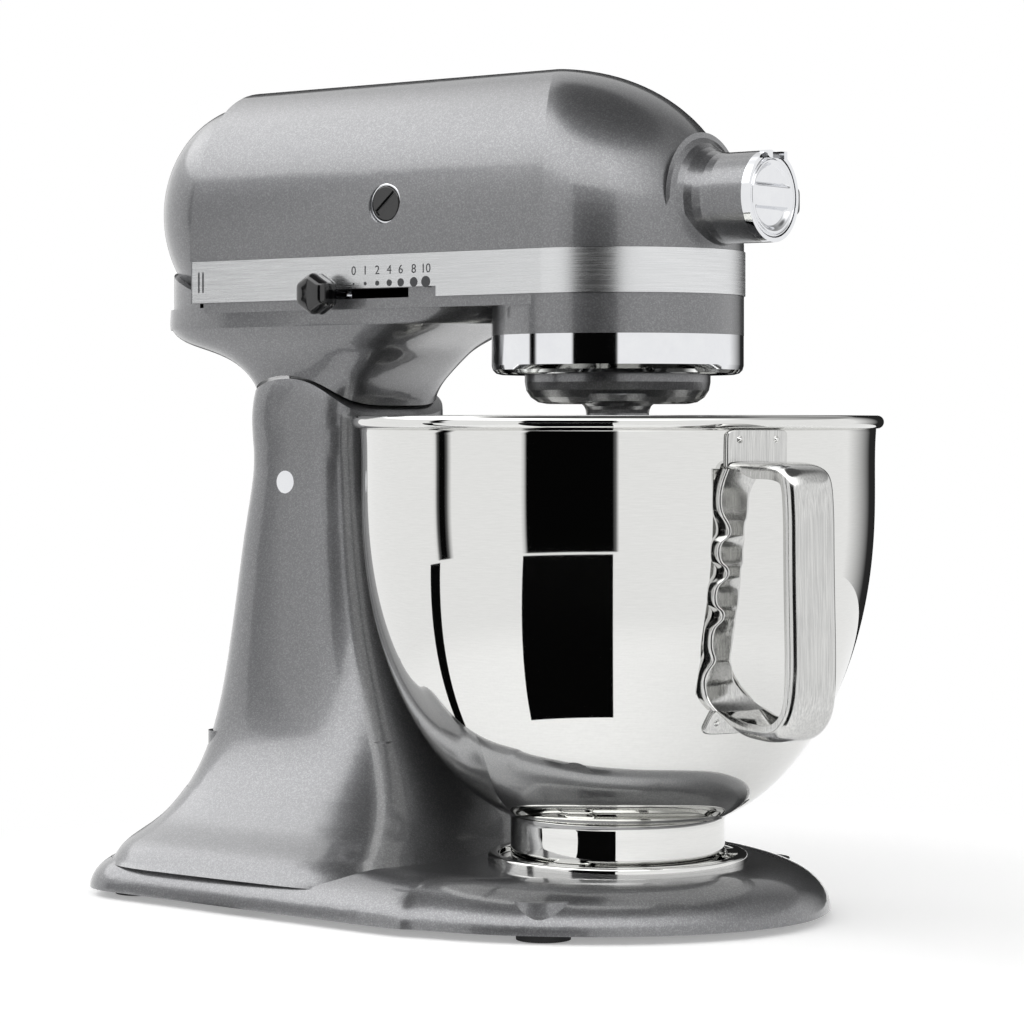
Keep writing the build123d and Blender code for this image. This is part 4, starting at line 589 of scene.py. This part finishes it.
def strap_sheet(stations=170):
    """The channel carried along the path: point = path + normal·v, with u sideways."""
    path = smooth_line(STRAP_PATH, stations)
    along = np.gradient(path, axis=0)
    along /= np.linalg.norm(along, axis=1, keepdims=True)
    share = np.linspace(0, 1, stations)
    root = np.clip(1 - share / 0.14, 0, 1) ** 1.5
    half = STRAP_HALF + (ROOT_HALF - STRAP_HALF) * root
    drop = 1.2 + (FLANGE - 1.2) * np.clip(share / 0.07, 0, 1) * np.clip((1 - share) / 0.09, 0, 1)
    sheet = np.full(stations, 1.3)
    sheet[[0, -1]] = 0
    outer = arch(half, drop, np.full(stations, 1.2))
    inner = arch(half - sheet, drop, 1.2 - sheet)[:, ::-1]
    loop = np.concatenate([outer, inner], axis=1)
    points = np.stack([path[:, :1] - along[:, 1:] * loop[..., 1], loop[..., 0],
                       path[:, 1:] + along[:, :1] * loop[..., 1]], axis=-1)
    return grid(turned_to_handle(points), around=True)


make_piece("handle_strap_pressed", "stainless_steel_pressed_satin", BODY_OF["handle_strap"],
           [strap_sheet()], ["handle_strap"], 50)

# %% [markdown]
# Plates and rivets lie on the bowl's round wall, so they are drawn as patches on it: an outline in
# sideways and height, and how far each ring of that outline stands off the wall.

# %% Bracket plates and rivets
WALL_HEIGHTS, WALL_RADII = wall[::-1, 1], wall[::-1, 0]


def on_wall(side, height, stand):
    """x = sqrt((wall radius + stand)² - side²), y = side, z = height."""
    reach = np.interp(height, WALL_HEIGHTS, WALL_RADII) + stand
    return turned_to_handle(np.stack([np.sqrt(reach ** 2 - side ** 2), side, height], axis=-1))


def wall_patch(middle, half, power, rings, lean=0.0, steps=72):
    """Rings of a superellipse on the wall: side = m + s·h·|cos|^(2/p), height likewise; lean skews it."""
    a = 2 * np.pi * np.arange(steps) / steps
    share, stand = np.array(rings).T[:, :, None]
    up = share * half[1] * np.sign(np.sin(a)) * np.abs(np.sin(a)) ** (2 / power)
    side = middle[0] + share * half[0] * np.sign(np.cos(a)) * np.abs(np.cos(a)) ** (2 / power) + lean * up
    return grid(on_wall(side, middle[1] + up, stand + 0 * a), around=True)


PLATE_RINGS = [(0.0, 0.1), (0.98, 0.1), (1.0, 0.5), (1.0, 1.2), (0.985, 1.7), (0.955, 1.95), (0.9, 2.0), (0.5, 2.0),
               (0.0, 2.0)]
RIVET_RINGS = [(0.0, 1.8), (1.3, 1.8), (1.25, 2.05), (1.0, 2.2), (0.96, 2.1), (0.8, 2.35), (0.45, 2.7), (0.0, 2.8)]
make_piece("handle_plates_pressed", "stainless_steel_pressed_satin", BODY_OF["handle_brackets"],
           [wall_patch((0.0, 194.3), (14.0, 8.2), 9.0, PLATE_RINGS),
            wall_patch((-0.8, 87.1), (10.6, 5.3), 5.0, PLATE_RINGS, 0.25)], ["handle_brackets"], 50)
make_piece("handle_rivet_heads", "stainless_steel_mirror_polished", BODY_OF["handle_rivets"],
           [wall_patch(place, (1.15, 1.15), 2.0, RIVET_RINGS)
            for place in ((-8.4, 198.6), (8.4, 198.6), (-7.3, 86.7))], ["handle_rivets"], 50)

# %% [markdown]
# The finger grip is a narrow channel pressed between two dies: four dished rests with short flat
# ridges between them, and a longer dish below that curls outward on to the strap.

# %% Finger grip
# height, stand-off from the wall, near edge and far edge sideways
GRIP_KNOTS = [(187.2, 8.6, -16.6, -2.2), (183, 6.4, -17.0, -4.6), (177, 4.2, -17.2, -6.2),
              (169, 5.2, -16.6, -7.6), (165.4, 6.4, -15.0, -9.4), (161.6, 6.6, -14.8, -9.6),
              (159, 5.2, -16.8, -8.8), (155, 4.2, -17.5, -8.4), (150.8, 5.2, -16.8, -9.0),
              (148.4, 6.5, -15.0, -10.4), (145.2, 6.6, -15.0, -10.5), (142.6, 5.2, -17.0, -9.6),
              (138, 4.2, -17.9, -9.1), (133.6, 5.2, -17.1, -9.8), (131.4, 6.5, -15.4, -11.0),
              (128.6, 6.6, -15.4, -11.1), (126, 5.4, -17.0, -10.4), (120.5, 4.4, -17.5, -9.8),
              (115.5, 5.4, -16.9, -10.4),
              (112.6, 6.4, -16.2, -10.9), (109.6, 5.6, -16.9, -9.2), (105, 4.0, -17.3, -6.8), (100, 5.2, -17.0, -3.0),
              (96, 8.4, -16.2, 1.6), (92.6, 12.8, -14.6, 5.4)]


def grip_sheet(stations=240):
    """Rows down the wall; across each, two short flanges and a floor between them, rounded where they meet."""
    rows = smooth_line(GRIP_KNOTS, stations)
    height, stand, near, far = (rows[:, k:k + 1] for k in range(4))
    depth = np.minimum(stand - 0.2, 4.6)
    edge = np.radians(np.linspace(0, 90, 7))
    side = np.concatenate([near - 1.5 * np.cos(edge), far + 1.5 * np.cos(edge[::-1])], axis=1)
    fall = np.concatenate([1 - np.sin(edge), 1 - np.sin(edge[::-1])])
    lift = stand - depth * fall ** 1.5
    side, lift = (np.concatenate([line, line[:, ::-1]], axis=1) for line in (side, lift))
    lift[:, 14:] = np.maximum(lift[:, 14:] - 0.9, 0.05)
    lift[[0, -1], 14:] = lift[[0, -1], :14][:, ::-1]
    return grid(on_wall(side, height + 0 * side, lift), around=True)


make_piece("handle_grip_pressed", "stainless_steel_pressed_satin", BODY_OF["handle_grip"],
           [grip_sheet()], ["handle_grip"], 60)

# %% [markdown]
# ## Knobs and caps
# Knobs are compression moulded in black phenolic and tumbled until they shine. Each is a rounded
# hexagon that domes over at its end. The brush cap is the same resin, with a slot for a coin.

# %% Faceted knobs
def faceted_knob(centre, way, radius, length, sharpness=16.0, steps=120):
    """r(t) = R / (sum of |cos(t - k·60°)|^p over k = 0, 1, 2)^(1/p), scaled by a domed profile."""
    profile = smooth_line([(0.0, 0.0), (0.6, 0.0), (0.9, 0.5), (1.0, 2.2), (1.0, length * 0.55),
                           (0.97, length * 0.75), (0.86, length * 0.91), (0.6, length), (0.3, length + 0.3),
                           (0.0, length + 0.35)], 46)
    profile[:, 0] = np.clip(profile[:, 0], 0, 1)
    profile[[0, -1], 0] = 0
    turn = 2 * np.pi * np.arange(steps) / steps
    facets = np.abs(np.cos(turn[:, None] - np.radians([0, 60, 120]))) ** sharpness
    reach = radius / facets.sum(axis=1) ** (1 / sharpness)
    share, rise = profile[:, :1], profile[:, 1:]
    return grid(np.stack([centre[0] + share * reach * np.cos(turn), centre[1] + way * rise + 0 * turn,
                          centre[2] + share * reach * np.sin(turn)], axis=-1), around=True)


for name, node, centre, way, radius, length in (
        ("speed_knob_moulded", "speed_knob", (-113.0, -58.0, 260.0), -1, 8.0, 10.6),
        ("hub_knob_moulded", "hub_knob", (62.0, 22.9, 297.0), 1, 8.8, 10.6),
        ("lock_knob_moulded", "lock_knob", (-134.0, 47.0, 236.0), 1, 6.3, 7.4)):
    make_piece(name, "phenolic_black_polished", BODY_OF[node],
               [faceted_knob(centre, way, radius, length)], [node], 60)

# %% [markdown]
# The slotted brush cap, the chrome rim round it and the hinged hub cover are all faces with a relief. One
# function draws a disc whose depth is a function of the place on it.

# %% Discs with a relief
def relief_disc(radius, thick, depth, rings=56, steps=144, edge=0.6):
    """(a, b, h): rings of a disc, h = thick - depth(a, b), its edge rounded by a quarter circle, its back flat."""
    inner = np.linspace(0, 1, rings) * (radius - edge)
    bend = np.radians(np.linspace(0, 90, 6))[1:]
    reach = np.concatenate([inner, radius - edge + edge * np.sin(bend), [radius, 0.0]])[:, None]
    fall = np.concatenate([0 * inner, edge * (1 - np.cos(bend)), [thick, thick]])[:, None]
    turn = 2 * np.pi * np.arange(steps) / steps
    a, b = reach * np.cos(turn), reach * np.sin(turn)
    fade = (fall < 1e-9) * 1.0
    return a, b, thick - fall - fade * depth(a, b)


def step_up(value, low, high):
    """Smooth step from 0 at low to 1 at high: s²(3 - 2s)."""
    s = np.clip((value - low) / (high - low), 0, 1)
    return s * s * (3 - 2 * s)


def coin_slot(a, b):
    """A 13 by 2.6 mm slot turned by 40 degrees, 1.4 mm deep."""
    c, s = math.cos(math.radians(40)), math.sin(math.radians(40))
    along, across = np.abs(c * a + s * b), np.abs(c * b - s * a)
    return 1.4 * (1 - step_up(across, 1.1, 1.6)) * (1 - step_up(along, 6.0, 6.6))


CAP_X, CAP_Z, CAP_RADIUS, RIM_RADIUS = -84.5, 298, 7.4, 8.6


def rim_well(a, b):
    """The well inside the rim that the cap screws into, 1.6 mm deep."""
    return 1.6 * (1 - step_up(np.hypot(a, b), CAP_RADIUS, CAP_RADIUS + 0.2))


def facing_sideways(disc, way, start):
    """A relief disc turned to face along way times Y, its back at start."""
    a, b, h = disc
    return grid(np.stack([CAP_X + a, way * (start + h), CAP_Z + b], axis=-1), around=True)


cap_sheets = [facing_sideways(relief_disc(CAP_RADIUS, 5.2, coin_slot), way, 45.7) for way in (-1, 1)]
rim_sheets = [facing_sideways(relief_disc(RIM_RADIUS, 4.9, rim_well, edge=0.5), way, 45.6) for way in (-1, 1)]
make_piece("brush_cap_slotted", "phenolic_black_polished", BODY_OF["brush_caps"], cap_sheets,
           ["brush_caps"], 60)
make_piece("brush_cap_rim", "chrome_plating", BODY_OF["brush_caps"], rim_sheets, (), 60)

# %% Hub cover
def hub_scoops(a, b):
    """Two finger scoops above and below a level bar, and a groove round them."""
    reach = np.hypot(a, b)
    bowl = step_up(np.abs(b), 3.6, 5.6) * (1 - step_up(reach, 11.5, 14.6)) * 2.1
    groove = 0.5 * (step_up(reach, 14.9, 15.2) - step_up(reach, 15.5, 15.8))
    return bowl + groove


HUB_Z, COVER_BACK_X, COVER_RADIUS, COVER_THICK = 297, 74.8, 16.5, 3.2
a, b, h = relief_disc(COVER_RADIUS, COVER_THICK, hub_scoops, 90, 180)
make_piece("hub_cover_polished", "chrome_plating", BODY_OF["hub_cover"],
           [grid(np.stack([COVER_BACK_X + h, a, HUB_Z + b], axis=-1), around=True)], ["hub_cover"], 60)

# %% [markdown]
# ## Marks on the band
# The speed scale is printed on the band, with numbers above dots that grow with the speed.
# Ink is a film about 0.05 mm thick, so each mark is a thin raised plate. The two tall dark plates at the
# band's rear end are painted shade in the same ink colour: they stand in for two notches.

# %% Speed scale
SCALE_X = [-99.9, -93.5, -86.8, -80.2, -73.9, -66.8, -60.3]
SCALE_MARKS = ["0", "1", "2", "4", "6", "8", "10"]
BAND_FACE = -53.62


def flat_shape(a, b, thick=0.06):
    """A thin closed plate from an outline (a, b) on the band's flat side."""
    rings = [(0.0, 0.0), (1.0, 0.0), (1.0, thick), (0.0, thick)]
    middle = np.array([a.mean(), b.mean()])
    points = [np.stack([middle[0] + share * (a - middle[0]), BAND_FACE - rise + 0 * a,
                        middle[1] + share * (b - middle[1])], axis=-1) for share, rise in rings]
    return grid(np.array(points), around=True)


def number_plate(text, x, z, height):
    """Outlines of the built-in lettering, extruded by the ink's thickness and laid on the band."""
    curve = bpy.data.curves.new("mark", "FONT")
    curve.body, curve.size, curve.extrude, curve.align_x = text, height * 1.38, 0.03, "CENTER"
    holder = bpy.data.objects.new("mark", curve)
    mesh = holder.to_mesh()
    local = np.array([vertex.co[:] for vertex in mesh.vertices])
    faces = [list(face.vertices) for face in mesh.polygons]
    points = np.stack([x + local[:, 0], BAND_FACE - 0.03 - local[:, 2], z + local[:, 1]], axis=-1)
    holder.to_mesh_clear()
    bpy.data.objects.remove(holder)
    return points, faces


turn = 2 * np.pi * np.arange(40) / 40
marks = [number_plate(text, x, 268.0, 3.9) for text, x in zip(SCALE_MARKS, SCALE_X)]
for place, x in enumerate(SCALE_X):
    size = 0.45 + 0.32 * place
    marks.append(flat_shape(x + size * np.cos(turn), 264.2 + size * np.sin(turn)))
# painted shade: two tall thin dark plates standing in for the two notches at the band's rear end
for x in (-187.5, -190.0):
    marks.append(flat_shape(x + 0.45 * np.sign(np.cos(turn)) * np.abs(np.cos(turn)) ** 0.4,
                            267.0 + 4.6 * np.sign(np.sin(turn)) * np.abs(np.sin(turn)) ** 0.4))
make_piece("speed_scale_print_and_notch_shade", "printed_ink_and_notch_shade", BODY_OF["trim_band"], marks, (), 20)
